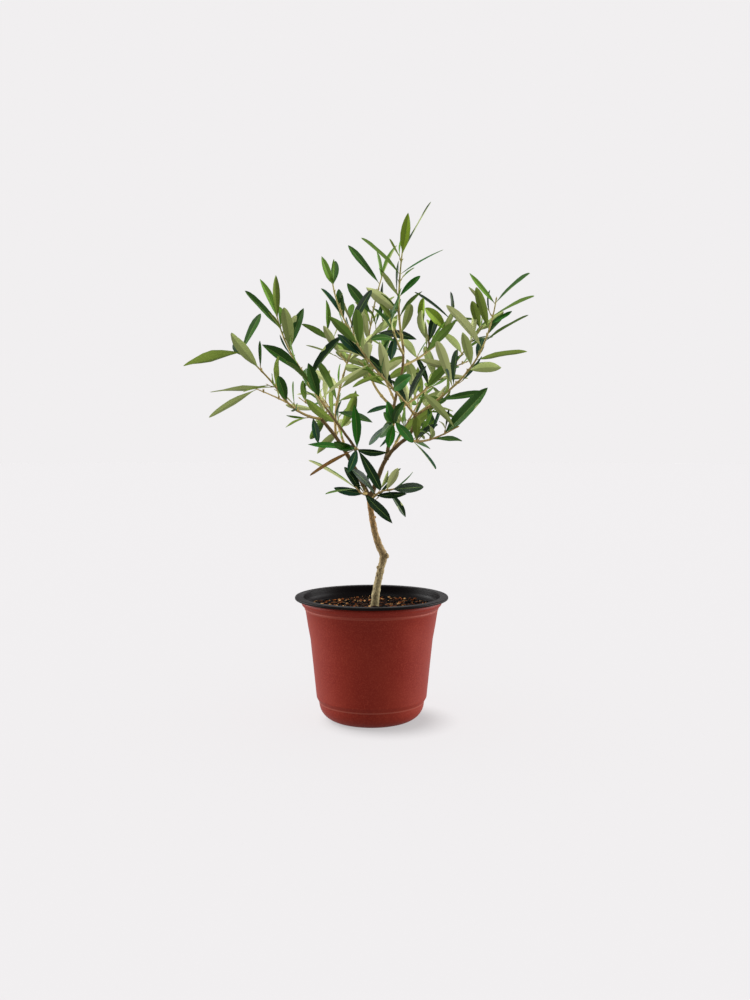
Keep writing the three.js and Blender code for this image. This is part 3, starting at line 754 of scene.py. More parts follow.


# %% [markdown]
# The trunk leaves the soil with a slight flare, leans to the right, kinks at an old pruning knot and
# leans back to the fork. Its stations are the same as those of the plain solid, with many more rings
# between them. Bark relief is real geometry here: long ridges, softer lumps and a few ring scars are
# pushed along the vertex normals, so they are part of the mesh itself.

# %% The trunk
# Each station is (x, y, z, radius), and each stub is (share of the trunk, heading, reach, radius).
TRUNK = [
    (2.9, 0, 110.8, 4.5), (3.3, 0, 114.6, 4.0), (5.0, 0, 128.0, 3.7), (7.3, 0, 140.0, 3.5),
    (9.4, 1, 148.6, 3.5), (11.4, 2, 156.2, 3.7), (11.5, 2, 160.8, 3.7), (8.3, 2, 167.6, 3.5),
    (5.2, 1, 176.0, 3.3), (2.3, 0, 187.3, 3.1), (0.2, 0, 199.0, 2.8), (-1.3, 0, 208.5, 2.7),
    (-1.8, 0, 215.7, 2.6),
]
SUNK_FOOT = (2.6, 0, 107.8, 5.6)
STUBS = [(0.47, -15, 5.2, 2.8), (0.365, 190, 4.7, 1.7), (0.83, 20, 4.1, 1.3), (0.66, 120, 4.3, 1.4)]
STUB_SHAPE = [(0, 1.25), (0.5, 1.05), (0.8, 1), (0.93, 0.75), (1, 0.3)]
RING_SCARS = [121.5, 131.0, 143.5, 152.0, 164.5, 176.0, 190.0, 201.0]
RIDGE_DEPTH = 0.32
LUMP_DEPTH = 0.42
SCAR_DEPTH = 0.3
TRUNK_STEPS, TRUNK_SIDES = 14, 40
STUB_CLIMB, STUB_SIDES, STUB_BARK = 20, 14, 0.7


def bark_lift(point):
    """How far the bark of the trunk stands out at a point, in millimetres."""
    ridges = noise.noise(Vector((point.x * 1.1, point.y * 1.1, point.z * 0.3)))
    fine = noise.noise(Vector((point.x * 2.6, point.y * 2.6, point.z * 1.2 + 9)))
    lumps = noise.noise(point * 0.21 + Vector((3, 5, 1))) + 0.8 * noise.noise(point * 0.6)
    scars = sum(math.exp(-((point.z - height) / 0.7) ** 2) for height in RING_SCARS)
    broken = 0.5 + noise.noise(point * 0.35)
    return RIDGE_DEPTH * (ridges + 0.45 * fine) + LUMP_DEPTH * lumps + SCAR_DEPTH * scars * broken


def raise_bark(bm, share=1.0):
    """Moves each vertex out along its normal, by a share of the trunk's relief."""
    bm.normal_update()
    for vert in bm.verts:
        vert.co += vert.normal * (share * bark_lift(vert.co))


trunk_stations = [SUNK_FOOT, *TRUNK]
trunk_path = curved([Vector(station[:3]) for station in trunk_stations], TRUNK_STEPS)
trunk_radii = [station[3] for station in trunk_stations]
bm = loft(trunk_path, trunk_radii, TRUNK_SIDES)
raise_bark(bm)
for at, heading, reach, radius in STUBS:
    ahead = direction_of(heading, STUB_CLIMB) * reach
    knob = short_end(point_at(trunk_path, at), ahead, radius, STUB_SHAPE, STUB_SIDES)
    raise_bark(knob, STUB_BARK)
    add_mesh(bm, knob)
bmesh.ops.scale(bm, vec=(MM, MM, MM), verts=bm.verts)
print("trunk of", len(trunk_path), "rings,", round(lengths_along(trunk_path)[-1], 1), "mm long")

# %% [markdown]
# Young olive bark is smooth and grey-tan near the soil, warmer and browner towards the fork, with
# fine lengthwise streaks and small pale pores. The height of a point mixes the two tones, stretched
# noise draws the streaks, and small cells give the pores.

# %% The bark's finish
def bark_finish(name, low_tone, high_tone, dark, low, high):
    """Bark that goes from one tone to another between two heights, which are in metres."""
    finish, shader = new_finish(name, low_tone, 0.85, 0.15)
    streaks = clouds(finish, 620, 5, stretch=(1, 1, 0.4))
    patches = clouds(finish, 210, 3)
    pores = cells(finish, 560, stretch=(0.6, 0.6, 1))
    toned = tint(finish, ranged(finish, height_on_object(finish), low, high), low_tone, high_tone)
    streaked = tint(finish, ranged(finish, streaks, 0.48, 0.66, 0, 0.6), toned, dark)
    clouded = tint(finish, ranged(finish, patches, 0.5, 0.7, 0, 0.4), streaked, dark)
    pale = tuple(min(1, value * 1.6) for value in low_tone)
    spotted = tint(finish, ranged(finish, pores, 0.08, 0.2, 0.7, 0), clouded, pale)
    link(finish, spotted, shader.inputs["Base Color"])
    relief(finish, shader, streaks, 0.0004)
    return finish


olive_bark = bark_finish("olive_bark", screen(136, 124, 91), screen(127, 95, 55), screen(58, 46, 29),
                         low=0.13, high=0.21)
add_piece("trunk_bark", bm, [olive_bark], ["trunk"])

# %% [markdown]
# Two boughs rise from the fork, and each carries one more. A bough is an arc that turns evenly
# through a few headings and climbs, so its whole shape is one short line of numbers. It starts in
# the middle of its parent and swells into a collar there, as a living branch does, which also hides
# the seam.

# %% The boughs
STEP = 12  # length of one straight piece of a limb or shoot, in millimetres
COLLAR_SWELL = 0.5
COLLAR_LENGTH = 5.0
BOUGH_STEPS, BOUGH_SIDES, BOUGH_BARK = 6, 24, 0.55
PLAIN_STEPS = 3


def bough(parent, at, length, radii, heading, climb):
    """The plan of a bough: its parent and the place on it, its length, its radii and how it turns."""
    return {"from": parent, "at": at, "length": length, "radii": radii, "heading": heading, "climb": climb}


BOUGHS = {
    "left_bough": bough("trunk", 1, 92, (2.3, 1.6), (-160, -165, -150), (65, 60, 45)),
    "right_bough": bough("trunk", 1, 99, (2.4, 1.5), (0, -35, -15, -40), (70, 65, 35, 95)),
    "leader_bough": bough("right_bough", 0.43, 116, (1.8, 1.2), (60, 70, -120), (70, 70, 85)),
    "upper_left_bough": bough("left_bough", 0.42, 70, (1.4, 1.1), (-35, -185, -225), (45, 55, 45)),
}


def limb_path(start, plan):
    """The middle line of a limb that turns evenly from its first heading and climb to its last."""
    count = max(3, int(plan["length"] / STEP + 0.5))
    path = [start.copy()]
    for piece in range(count):
        share = (piece + 0.5) / count
        ahead = direction_of(between(plan["heading"], share), between(plan["climb"], share))
        path.append(path[-1] + ahead * plan["length"] / count)
    return path


def swollen(radii, rings, swell_at):
    """The radius of each ring of a limb that swells by a share that swell_at gives."""
    shares = [ring / (rings - 1) for ring in range(rings)]
    return [between(radii, share) * (1 + swell_at(share)) for share in shares]


def collared(radii, length, rings):
    """Radii of a limb with a swollen foot."""
    return swollen(radii, rings, lambda share: COLLAR_SWELL * math.exp(-share * length / COLLAR_LENGTH))


plain_trunk = curved([Vector(station[:3]) for station in TRUNK], PLAIN_STEPS)
paths = {"trunk": plain_trunk}
bm = bmesh.new()
for name, plan in BOUGHS.items():
    paths[name] = limb_path(point_at(paths[plan["from"]], plan["at"]), plan)
    fine = curved(paths[name], BOUGH_STEPS)
    limb = loft(fine, collared(plan["radii"], plan["length"], len(fine)), BOUGH_SIDES)
    raise_bark(limb, BOUGH_BARK)
    add_mesh(bm, limb)
bmesh.ops.scale(bm, vec=(MM, MM, MM), verts=bm.verts)
bough_bark = bark_finish("bough_bark", screen(80, 62, 37), screen(104, 87, 50), screen(38, 29, 18),
                         low=0.24, high=0.36)
add_piece("bough_bark", bm, [bough_bark], list(BOUGHS))

# %% [markdown]
# The crown is eighteen masses of foliage. Each is grown, not placed: a twig leaves its bough, and
# pairs of leaves follow it, each pair crossing the one below, as on every olive shoot. The leaves
# that give the crown its outline are set one by one. A seed deals the rest, so the crown is the same
# in every run. This is the rule that grew the plain solids, so the leaves fall where theirs are. The
# masses on the left come first: long low shoots, upright ones, and one that comes forward.

# %% The left of the crown
def shoot(at, length, seed, heading, climb, leaves=(), sides=()):
    """The plan of a shoot. A set leaf is (share of the shoot, length, heading, climb, roll)."""
    return {"at": at, "length": length, "seed": seed, "heading": heading, "climb": climb,
            "leaves": leaves, "sides": sides}


# Each mass is (name, the limb that carries it, the plan of its shoot).
FOLIAGE = [
    ("left_low", "left_bough", shoot(1, 110, 939, (-145, -130, -195), (5, 45, 45), leaves=[
        (0.78, 44, -130, 40, -50), (0.97, 58, -150, -15, -40), (0.98, 41, 40, 60, -15),
        (0.57, 60, -170, -5, -15), (0.4, 37, -100, 35, 145), (0.09, 30, -70, -55, -10),
    ], sides=[
        shoot(0.37, 45, 713, (135, 155), (20, 20), leaves=[(0.95, 54, 175, -30, -25)]),
    ])),
    ("left_upper", "upper_left_bough", shoot(1, 107, 1131, (165, 155, 135), (55, 55, 70), leaves=[
        (0.35, 51, -165, 35, 65), (0.62, 46, -100, 60, -10), (0.64, 47, 50, 65, -40),
        (0.86, 50, -160, 45, 55), (0.97, 42, -90, 70, 25), (0.97, 43, 165, 65, 30),
        (0.3, 56, -15, 50, -55), (0.11, 41, -110, 50, 145),
    ])),
    ("left_front", "upper_left_bough", shoot(0.28, 45, 216, (-85, -85), (0, 0), leaves=[
        (0.76, 46, -95, 60, 165), (0.95, 45, -35, -55, -50), (0.8, 48, 165, 5, 30),
        (0.49, 50, 180, -30, -35),
    ])),
    ("inner_left", "left_bough", shoot(0.75, 162, 682, (100, 75, 55, 180), (50, 55, 60, 70), leaves=[
        (0.2, 43, -30, -15, -35),
    ], sides=[
        shoot(0.57, 43, 715, (125, 200), (40, 70), leaves=[(0.94, 38, -90, 50, 130)]),
    ])),
]
print(len(FOLIAGE), "masses on the left")

# %% [markdown]
# In the middle one long shoot crosses in front from right to left, the leader carries the top of
# the tree, a short shoot points at the viewer, and upright ones fill the space behind.

# %% The middle of the crown
FOLIAGE += [
    ("crossing", "right_bough", shoot(0.97, 159, 636, (-125, -135, -165, -235), (35, 35, 60, 75), leaves=[
        (0.59, 40, -95, 50, 0), (0.61, 40, -140, 35, -40), (0.7, 48, 45, 55, -20),
        (0.77, 44, 135, 45, -5), (0.98, 31, -115, 45, 125), (0.98, 26, 80, 65, -5),
        (0.32, 45, -105, 50, -10), (0.1, 40, 120, 40, 0), (0.48, 59, -160, -35, -25),
        (0.77, 37, 105, 55, 10),
    ])),
    ("top", "leader_bough", shoot(0.99, 92, 135, (-220, -75, -60), (80, 85, 75), leaves=[
        (0.97, 40, -75, 60, -155), (0.97, 56, -10, 60, -20), (0.76, 51, -165, 40, 0),
        (0.76, 49, 5, 30, -15), (0.37, 46, -140, 25, -55), (0.3, 46, -130, -25, -65),
        (0.14, 36, -70, 45, 20),
    ])),
    ("middle_front", "leader_bough", shoot(0.35, 64, 59, (-85, -95), (0, -10), leaves=[
        (0.95, 45, -100, 25, 145), (0.95, 38, -100, -35, 5), (0.95, 37, -85, 20, -145),
        (0.51, 39, 140, -35, 60),
    ])),
    ("rear_centre", "leader_bough", shoot(0.46, 163, 1042, (150, 110, 55, 30), (35, 55, 75, 70), leaves=[
        (0.98, 29, -110, 60, 110), (0.98, 38, 10, 65, -15), (0.94, 51, -175, 50, 45),
        (0.73, 45, 155, 50, 60), (0.03, 34, -135, -15, 30),
    ], sides=[
        shoot(0.28, 20, 419, (-210, -130), (75, 25)),
        shoot(0.56, 34, 929, (-35, -60), (25, 55)),
    ])),
]
print(len(FOLIAGE), "masses on the left and in the middle")

# %% [markdown]
# On the right the longest shoots reach up and out, paler leaves show inside, and one low shoot
# carries a large dark leaf.

# %% The right of the crown
FOLIAGE += [
    ("right_upper", "right_bough", shoot(0.96, 143, 94, (-45, -20, 20, 50), (25, 40, 65, 75), leaves=[
        (0.98, 45, -45, 30, -50), (0.97, 40, 155, 50, 30), (0.79, 46, -120, 50, -20),
        (0.89, 48, 20, 25, 25), (0.83, 27, 25, 30, -35), (0.71, 49, -35, 25, -5),
        (0.57, 58, 25, 10, 30), (0.49, 41, -50, 0, 75), (0.58, 30, 70, 45, -10),
        (0.66, 56, -145, 40, -5), (0.34, 49, -125, 55, -25), (0.35, 39, 75, 65, 35),
        (0.52, 38, -115, 50, -5), (0.2, 48, 10, 10, -45), (0.12, 35, 75, -35, -150),
    ])),
    ("right_inner", "leader_bough", shoot(0.43, 104, 349, (40, 35, 20), (20, 40, 20), leaves=[
        (0.5, 38, 120, 55, -5), (0.19, 44, -45, 55, -70),
    ], sides=[
        shoot(0.82, 58, 341, (45, 10), (45, 55), leaves=[(0.96, 36, -115, 45, -15)]),
    ])),
    ("right_rear", "leader_bough", shoot(0.83, 109, 817, (55, 50, 35), (15, 30, 70), leaves=[
        (0.97, 24, -110, 65, 120), (0.91, 48, -170, 35, 35), (0.78, 45, -125, 25, 125),
    ], sides=[
        shoot(0.45, 28, 29, (-75, -165), (85, 35), leaves=[(0.92, 35, -90, 50, -135)]),
    ])),
    ("right_low", "right_bough", shoot(0.72, 75, 1064, (-60, -55, -40), (-15, 10, 25), leaves=[
        (0.77, 63, -40, 40, -80), (0.97, 46, -145, 40, -30), (0.21, 35, -50, 25, -65),
        (0.08, 35, 50, -15, -45), (0.17, 41, -50, -40, 20), (0.24, 31, -90, 45, 0),
    ])),
]
print(len(FOLIAGE), "masses with those on the right")

# %% [markdown]
# Short dark shoots flank the fork, another short one stands in front of the leader, and three long
# ones, which hardly show from the front, round off the back of the crown.

# %% The fork and the back of the crown
FOLIAGE += [
    ("fork_left", "left_bough", shoot(0.07, 31, 1145, (-105, -115), (-10, 35), leaves=[
        (0.62, 39, -120, 40, 115), (0.92, 41, -135, -5, 5), (0.92, 54, 175, 30, 0),
    ])),
    ("fork_right", "trunk", shoot(0.96, 41, 321, (-75, -30), (40, 5), leaves=[
        (0.77, 31, -60, 45, 35), (0.94, 41, -45, 5, -80), (0.1, 35, -45, -35, -50),
        (0.83, 35, 40, -50, -85),
    ])),
    ("back_left", "left_bough", shoot(0.58, 162, 244, (95, 105, 110, 115), (25, 30, 25, 30), sides=[
        shoot(0.45, 54, 413, (125, 155), (10, 35)),
    ])),
    ("back_right", "right_bough", shoot(0.51, 171, 198, (80, 70, 70, 70), (15, 30, 30, 25), sides=[
        shoot(0.4, 57, 662, (45, 45), (25, 25)),
    ])),
    ("leader_front", "leader_bough", shoot(0.93, 48, 624, (-120, -105), (35, 50), leaves=[
        (0.52, 36, -100, -45, 5),
    ])),
    ("back_top", "leader_bough", shoot(0.52, 150, 100, (100, 100, 85, 55), (25, 25, 40, 50), sides=[
        shoot(0.46, 51, 528, (115, 150), (35, 35)),
    ])),
]
FOLIAGE_NODES = ["foliage_" + mass for mass, _, _ in FOLIAGE]
print(len(FOLIAGE), "masses of foliage")

# %% [markdown]
# The rule itself. A leaf needs a base on its twig, a direction, an upper side, a length and a bend.
# Where a set leaf already stands, the rule leaves its own out, and a share has fallen, as on any
# plant. The random draws are always made in the same order, so that leaving a leaf out changes
# nothing further up the shoot.

# %% How a shoot carries its leaves
BARE_SHARE = 0.25
SPACING = 17
LEAF_LONG = (46, 28)
LEAF_OPEN = (62, 30)
FALLEN = 0.15
SET_LEAF_ARCH = 8
CROWDED = 9
SAME_WAY = 0.45


def set_leaf(path, row):
    """A leaf of the crown's outline, from its place on the twig, length, heading, climb and roll."""
    at, long, heading, climb, roll = row
    ahead = direction_of(heading, climb)
    level = Vector((math.sin(math.radians(heading)), -math.cos(math.radians(heading)), 0))
    turn = math.radians(roll)
    up = level.cross(ahead) * math.cos(turn) - level * math.sin(turn)
    return {"base": point_at(path, at), "ahead": ahead, "up": up, "long": long,
            "arch": SET_LEAF_ARCH, "at": at}


def grown_leaves(path, seed, placed):
    """The pairs that the rule adds to a twig, and where along the twig its pairs sit."""
    draw = random_of(seed)
    pieces, sides = frames_along(path)
    lengths = lengths_along(path)
    total = lengths[-1]
    turn = 360 * draw()
    distance = BARE_SHARE * total + SPACING * 0.5 * draw()
    leaves, pairs = [], []
    while distance < total - 1:
        share = distance / total
        index = piece_at(lengths, distance)
        stem, side = pieces[index], sides[index]
        for hand in (0, 1):
            around = math.radians(turn + 90 * len(pairs) + 180 * hand + 30 * (draw() - 0.5))
            open_by = math.radians(between(LEAF_OPEN, share) + 36 * (draw() - 0.5))
            long = between(LEAF_LONG, share) * (0.8 + 0.4 * draw())
            roll = math.radians(120 * (draw() - 0.5))
            fallen = draw() < FALLEN
            arch = 10 + 30 * draw()
            outward = side * math.cos(around) + stem.cross(side) * math.sin(around)
            ahead = stem * math.cos(open_by) + outward * math.sin(open_by)
            facing = (stem - stem.dot(ahead) * ahead).normalized()
            up = facing * math.cos(roll) + facing.cross(ahead) * math.sin(roll)
            crowded = any(abs(leaf["at"] - share) * total < CROWDED
                          and leaf["ahead"].dot(ahead) > SAME_WAY for leaf in placed)
            if not fallen and not crowded:
                leaves.append({"base": point_at(path, share), "ahead": ahead, "up": up,
                               "long": long, "arch": arch, "at": share})
        pairs.append(share)
        distance += SPACING * (0.8 + 0.4 * draw())
    return leaves, pairs


# %% [markdown]
# No leaf may cut through a limb or through another mass. Each leaf is first tried as a coarse
# blade, a little larger than life: three stations with three corners each, and a tip.

# %% A coarse blade to try
LEAF_THICKNESS = 0.9
STALK_THICKNESS = 0.5
BLADE_FACES = [(0, 1, 2), (0, 3, 4), (0, 4, 1), (1, 4, 5), (1, 5, 2), (2, 5, 3), (2, 3, 0),
               (3, 6, 7), (3, 7, 4), (4, 7, 8), (4, 8, 5), (5, 8, 6), (5, 6, 3),
               (6, 9, 7), (7, 9, 8), (8, 9, 6)]


def half_breadth(long):
    """Half the greatest width of a leaf: a longer leaf is wider, but less than in proportion."""
    return 0.5 * (3 + 0.175 * long)


def coarse_half_width(long, share):
    place = max(0, (share - 0.05) / 0.95) ** 0.9
    return half_breadth(long) * math.sin(math.pi * min(place, 1)) ** 0.85


def midrib_point(leaf, share):
    """A point of the leaf's bent middle line."""
    bend = math.radians(leaf["arch"])
    angle = bend * (share - 0.5)
    forward = leaf["long"] / bend * (math.sin(angle) + math.sin(bend / 2))
    rise = leaf["long"] / bend * (math.cos(angle) - math.cos(bend / 2))
    return leaf["base"] + leaf["ahead"] * forward + leaf["up"] * rise


def coarse_blade(leaf, room):
    """The ten corners of a blade that is larger than life by room."""
    side = leaf["ahead"].cross(leaf["up"])
    corners = []
    for share in (0, 0.33, 0.7):
        half = 0.3 if share == 0 else coarse_half_width(leaf["long"], share)
        thick = STALK_THICKNESS if share == 0 else LEAF_THICKNESS
        middle = midrib_point(leaf, share) + leaf["up"] * room
        corners += [middle + side * (half + room), middle - side * (half + room),
                    middle - leaf["up"] * (thick + 2 * room)]
    return [*corners, midrib_point(leaf, 1) + leaf["up"] * room + leaf["ahead"] * room]


# %% [markdown]
# The trial blade is tested against everything that stands already, and its leaf is left out if it
# touches. Two boxes that don't meet settle most of these tests at once, and a tree of bounding boxes
# makes the others quick.

# %% Testing for touches
class Standing:
    """What a leaf could touch: its owner, a search tree of its faces and the box round it."""

    def __init__(self, owner, points, tree):
        self.owner = owner
        self.tree = tree
        self.low = [min(point[axis] for point in points) for axis in range(3)]
        self.high = [max(point[axis] for point in points) for axis in range(3)]

    def near(self, other):
        return all(self.low[axis] < other.high[axis] and self.high[axis] > other.low[axis]
                   for axis in range(3))


def standing_blade(leaf, owner, room):
    corners = coarse_blade(leaf, room)
    return Standing(owner, corners, BVHTree.FromPolygons(corners, BLADE_FACES))


def standing_limb(path, radii, sides, owner, room=0):
    limb = loft(path, radii, sides, room)
    made = Standing(owner, [vert.co.copy() for vert in limb.verts], BVHTree.FromBMesh(limb))
    limb.free()
    return made


def is_clear(trial, standing):
    return not any(other.owner != trial.owner and trial.near(other) and trial.tree.overlap(other.tree)
                   for other in standing)


# %% [markdown]
# Now the crown is grown in the order a plant fills its space: limbs, then all twigs, then the set
# leaves of every mass, then the leaves of the rule.

# %% Growing the crown
LEAF_ROOM = 0.35
TWIG_RADIUS = (1.5, 0.9)
SIDE_RADIUS = (1.2, 0.85)
PLAIN_TRUNK_SIDES, PLAIN_BOUGH_SIDES, PLAIN_TWIG_SIDES = 9, 8, 3

standing = [standing_limb(plain_trunk, trunk_radii[1:], PLAIN_TRUNK_SIDES, None, CLEARANCE)]
for name, plan in BOUGHS.items():
    standing.append(standing_limb(paths[name], plan["radii"], PLAIN_BOUGH_SIDES, None, CLEARANCE))

twigs = []
for mass, parent, plan in FOLIAGE:
    stem = limb_path(point_at(paths[parent], plan["at"]), plan)
    twigs.append({"mass": mass, "path": stem, "plan": plan, "radii": TWIG_RADIUS, "leaves": []})
    for side in plan["sides"]:
        path = limb_path(point_at(stem, side["at"]), side)
        twigs.append({"mass": mass, "path": path, "plan": side, "radii": SIDE_RADIUS, "leaves": []})
for twig in twigs:
    standing.append(standing_limb(twig["path"], twig["radii"], PLAIN_TWIG_SIDES, twig["mass"]))


def grow(twig, leaves):
    """Adds to the twig those leaves that touch nothing."""
    for leaf in leaves:
        if is_clear(standing_blade(leaf, twig["mass"], LEAF_ROOM), standing):
            standing.append(standing_blade(leaf, twig["mass"], 0))
            twig["leaves"].append(leaf)


for twig in twigs:
    twig["set"] = [set_leaf(twig["path"], row) for row in twig["plan"]["leaves"]]
    grow(twig, twig["set"])
for twig in twigs:
    more, twig["pairs"] = grown_leaves(twig["path"], twig["plan"]["seed"], twig["set"])
    grow(twig, more)
print(len(twigs), "twigs carry", sum(len(twig["leaves"]) for twig in twigs), "leaves")

# %% [markdown]
# The plain solids stop at full leaves. A real shoot also has buds in the angles above its leaves and
# here and there a short spur with one or two slender young leaves, which give the crown its thin
# strokes. They are dealt by a second stream of random numbers, and kept only where they stay inside
# their own mass and clear of everything else.

# %% Spurs
SPUR_SEED = 5000
SPUR_CHANCE = 0.62
SPUR_LENGTHS = (3, 9)
SPUR_RADII = (0.5, 0.35)
LOWEST_KNOT = 0.12
YOUNG_LEAF_LONG = (18, 36)
YOUNG_LEAF_BREADTH = 0.5
PAIR_CHANCE = 0.4


def spur_of(path, share, draw):
    """A short side shoot of a twig: its path and the small leaves at its end."""
    lengths = lengths_along(path)
    index = piece_at(lengths, share * lengths[-1])
    pieces, sides = frames_along(path)
    stem, side = pieces[index], sides[index]
    around = FULL_TURN * draw()
    outward = side * math.cos(around) + stem.cross(side) * math.sin(around)
    ahead = (stem + outward * (0.5 + 0.6 * draw())).normalized()
    length = between(SPUR_LENGTHS, draw())
    start = point_at(path, share)
    lifted = (ahead + Vector((0, 0, 0.35))).normalized()
    spur = [start, start + ahead * length * 0.5, start + (ahead + lifted) * length * 0.5]
    leaves = []
    cross = lifted.orthogonal().normalized()
    for hand in (1, -1) if draw() < PAIR_CHANCE else (1,):
        away = lifted + cross * hand * (0.25 + 0.5 * draw()) + lifted.cross(cross) * 0.3 * (draw() - 0.5)
        away.normalize()
        up = (lifted - lifted.dot(away) * away).normalized()
        leaves.append({"base": point_at(spur, 0.96), "ahead": away, "up": up, "at": 1,
                       "long": between(YOUNG_LEAF_LONG, draw()), "arch": 8 + 20 * draw()})
    return spur, leaves


def inside(points, mass):
    low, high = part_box("foliage_" + mass)
    return all(low[axis] < point[axis] * MM < high[axis] for point in points for axis in range(3))


spurs = []
for order, twig in enumerate(twigs):
    draw = random_of(SPUR_SEED + order)
    for share in [LOWEST_KNOT, *twig["pairs"]]:
        wanted = draw() < SPUR_CHANCE
        path, leaves = spur_of(twig["path"], share, draw)
        reach = [midrib_point(leaf, 1) for leaf in leaves]
        blades = [standing_blade(leaf, twig["mass"], LEAF_ROOM) for leaf in leaves]
        if wanted and inside(reach, twig["mass"]) and all(is_clear(b, standing) for b in blades):
            standing += blades
            spurs.append({"path": path, "leaves": leaves})
print(len(spurs), "spurs")

# %% [markdown]
# A twig is thin and slightly knotted: it swells where each pair of leaves sits, and ends in a
# pointed bud. The same loft makes it, with a radius for every ring. All twigs are joined, because
# several dozen small objects would only slow the file down.

# %% The twigs
TWIG_LOOK = {TWIG_RADIUS: (1.35, 0.62), SIDE_RADIUS: (0.9, 0.5)}
NODE_SWELL = 0.38
NODE_LENGTH = 1.1
TWIG_STEPS, SPUR_STEPS, TWIG_SIDES = 7, 3, 8
BUD_LENGTH = 3.2
BUD_RADIUS = 0.55
BUD_SIDES = 7
BUD_LIFT = 1.2
BUD_SHAPE = [(-0.3, 0.9), (0.15, 1.35), (0.5, 1.1), (0.8, 0.6), (1, 0.12)]
UP = Vector((0, 0, 1))


def knotted(radii, total, rings, pairs):
    """Radii of a twig that swells at its leaf pairs."""
    def swell_at(share):
        knots = sum(math.exp(-((share - pair) * total / NODE_LENGTH) ** 2) for pair in pairs)
        return NODE_SWELL * min(knots, 1)

    return swollen(radii, rings, swell_at)


def add_bud(bm, tip, direction, radius):
    add_mesh(bm, short_end(tip, direction * BUD_LENGTH, radius, BUD_SHAPE, BUD_SIDES))


def add_twig(bm, path, radii, pairs, steps):
    fine = curved(path, steps)
    total = lengths_along(fine)[-1]
    add_mesh(bm, loft(fine, knotted(radii, total, len(fine), pairs), TWIG_SIDES))
    add_bud(bm, fine[-1], (fine[-1] - fine[-2]).normalized(), radii[-1])


bm = bmesh.new()
for twig in twigs:
    add_twig(bm, twig["path"], TWIG_LOOK[twig["radii"]], [*twig["pairs"], LOWEST_KNOT], TWIG_STEPS)
    around = frames_along(twig["path"])[1][0].cross(UP)
    for share in twig["pairs"]:
        for hand in (1, -1):
            away = (around * hand + UP * BUD_LIFT).normalized()
            add_bud(bm, point_at(twig["path"], share), away, BUD_RADIUS)
for spur in spurs:
    add_twig(bm, spur["path"], SPUR_RADII, [0.5], SPUR_STEPS)
bmesh.ops.scale(bm, vec=(MM, MM, MM), verts=bm.verts)
twig_bark = bark_finish("twig_bark", screen(140, 119, 73), screen(138, 134, 80), screen(84, 69, 42),
                        low=0.28, high=0.44)
add_piece("twigs", bm, [twig_bark], FOLIAGE_NODES)

# %% [markdown]
# An olive leaf is narrow and leathery: a pale midrib in a shallow fold, edges that curl a little
# down, a dark upper face and a dull, pale underside. The shape is a grid whose columns follow the
# width and whose rows follow the length, bent by a few numbers.

# %% The shape of a leaf
ROWS = [0.0, 0.05, 0.1, 0.2, 0.34, 0.5, 0.66, 0.8, 0.91, 0.97]
COLUMNS = [-1.0, -0.55, -0.05, 0.05, 0.55, 1.0]
STALK_SHARE = 0.085
STALK_HALF_WIDTH = 0.42
FOOT_TAPER = 0.95
BLADE_THICKNESS = 0.42
GROOVE_DEPTH = 0.12


def blade_half_width(long, share, breadth, point):
    """Half the leaf's width: a thin stalk, then a blade that is widest past its middle."""
    place = max(0, (share - STALK_SHARE * 0.6) / (1 - STALK_SHARE * 0.6))
    widest = FOOT_TAPER / (FOOT_TAPER + point)
    shape = (place / widest) ** FOOT_TAPER * ((1 - place) / (1 - widest)) ** point
    return max(STALK_HALF_WIDTH, half_breadth(long) * breadth * shape)


def leaf_points(leaf, shape):
    """The leaf's corners, row by row: six on top, then one under the midrib, and the tip last."""
    side = leaf["ahead"].cross(leaf["up"])
    points = []
    for share in ROWS:
        half = blade_half_width(leaf["long"], share, shape["breadth"], shape["point"])
        turn = shape["twist"] * (share - 0.35)
        across = side * math.cos(turn) + leaf["up"] * math.sin(turn)
        above = leaf["up"] * math.cos(turn) - side * math.sin(turn)
        sway = shape["sway"] * leaf["long"] * math.sin(math.pi * share) * 0.5
        middle = midrib_point(leaf, share) + side * sway
        for column in COLUMNS:
            out = abs(column)
            lift = half * (shape["fold"] * out - shape["curl"] * out ** 3)
            groove = -GROOVE_DEPTH if out < 0.2 else 0
            wave = shape["wave"] * half * column * math.sin(9 * share + shape["phase"])
            points.append(middle + across * half * column + above * (lift + groove + wave * out))
        points.append(middle - above * BLADE_THICKNESS)
    points.append(midrib_point(leaf, 1))
    return points


# %% [markdown]
# Every leaf has the same faces, so the list of their corners is made once. The leaves are written as
# arrays and joined, because calling an operator for each of some hundreds would be slow.

# %% The faces of a leaf
TOP_LEFT, TOP_RIGHT, UNDER_LEFT, UNDER_RIGHT, RIB, STALK = range(6)


def leaf_faces():
    """Corner lists and the part of the leaf that each face belongs to."""
    width = len(COLUMNS)
    middle = width // 2 - 1
    row = width + 1
    across = [TOP_LEFT if column < middle else RIB if column == middle else TOP_RIGHT
              for column in range(width - 1)]
    faces, parts = [(*range(width - 1, -1, -1), width)], [STALK]
    for index in range(len(ROWS) - 1):
        a = index * row
        b = a + row
        stalk = ROWS[index + 1] <= STALK_SHARE
        for column in range(width - 1):
            faces.append((a + column, a + column + 1, b + column + 1, b + column))
            parts.append(STALK if stalk else across[column])
        faces += [(a + width, a, b, b + width), (a + width - 1, a + width, b + width, b + width - 1)]
        parts += [STALK, STALK] if stalk else [UNDER_LEFT, UNDER_RIGHT]
    last = (len(ROWS) - 1) * row
    tip = last + row
    for column in range(width - 1):
        faces.append((last + column, last + column + 1, tip))
        parts.append(across[column])
    faces += [(last + width, last, tip), (last + width - 1, last + width, tip)]
    parts += [UNDER_LEFT, UNDER_RIGHT]
    return faces, parts


LEAF_FACES, LEAF_PARTS = leaf_faces()
print("one leaf is", len(LEAF_FACES), "faces")

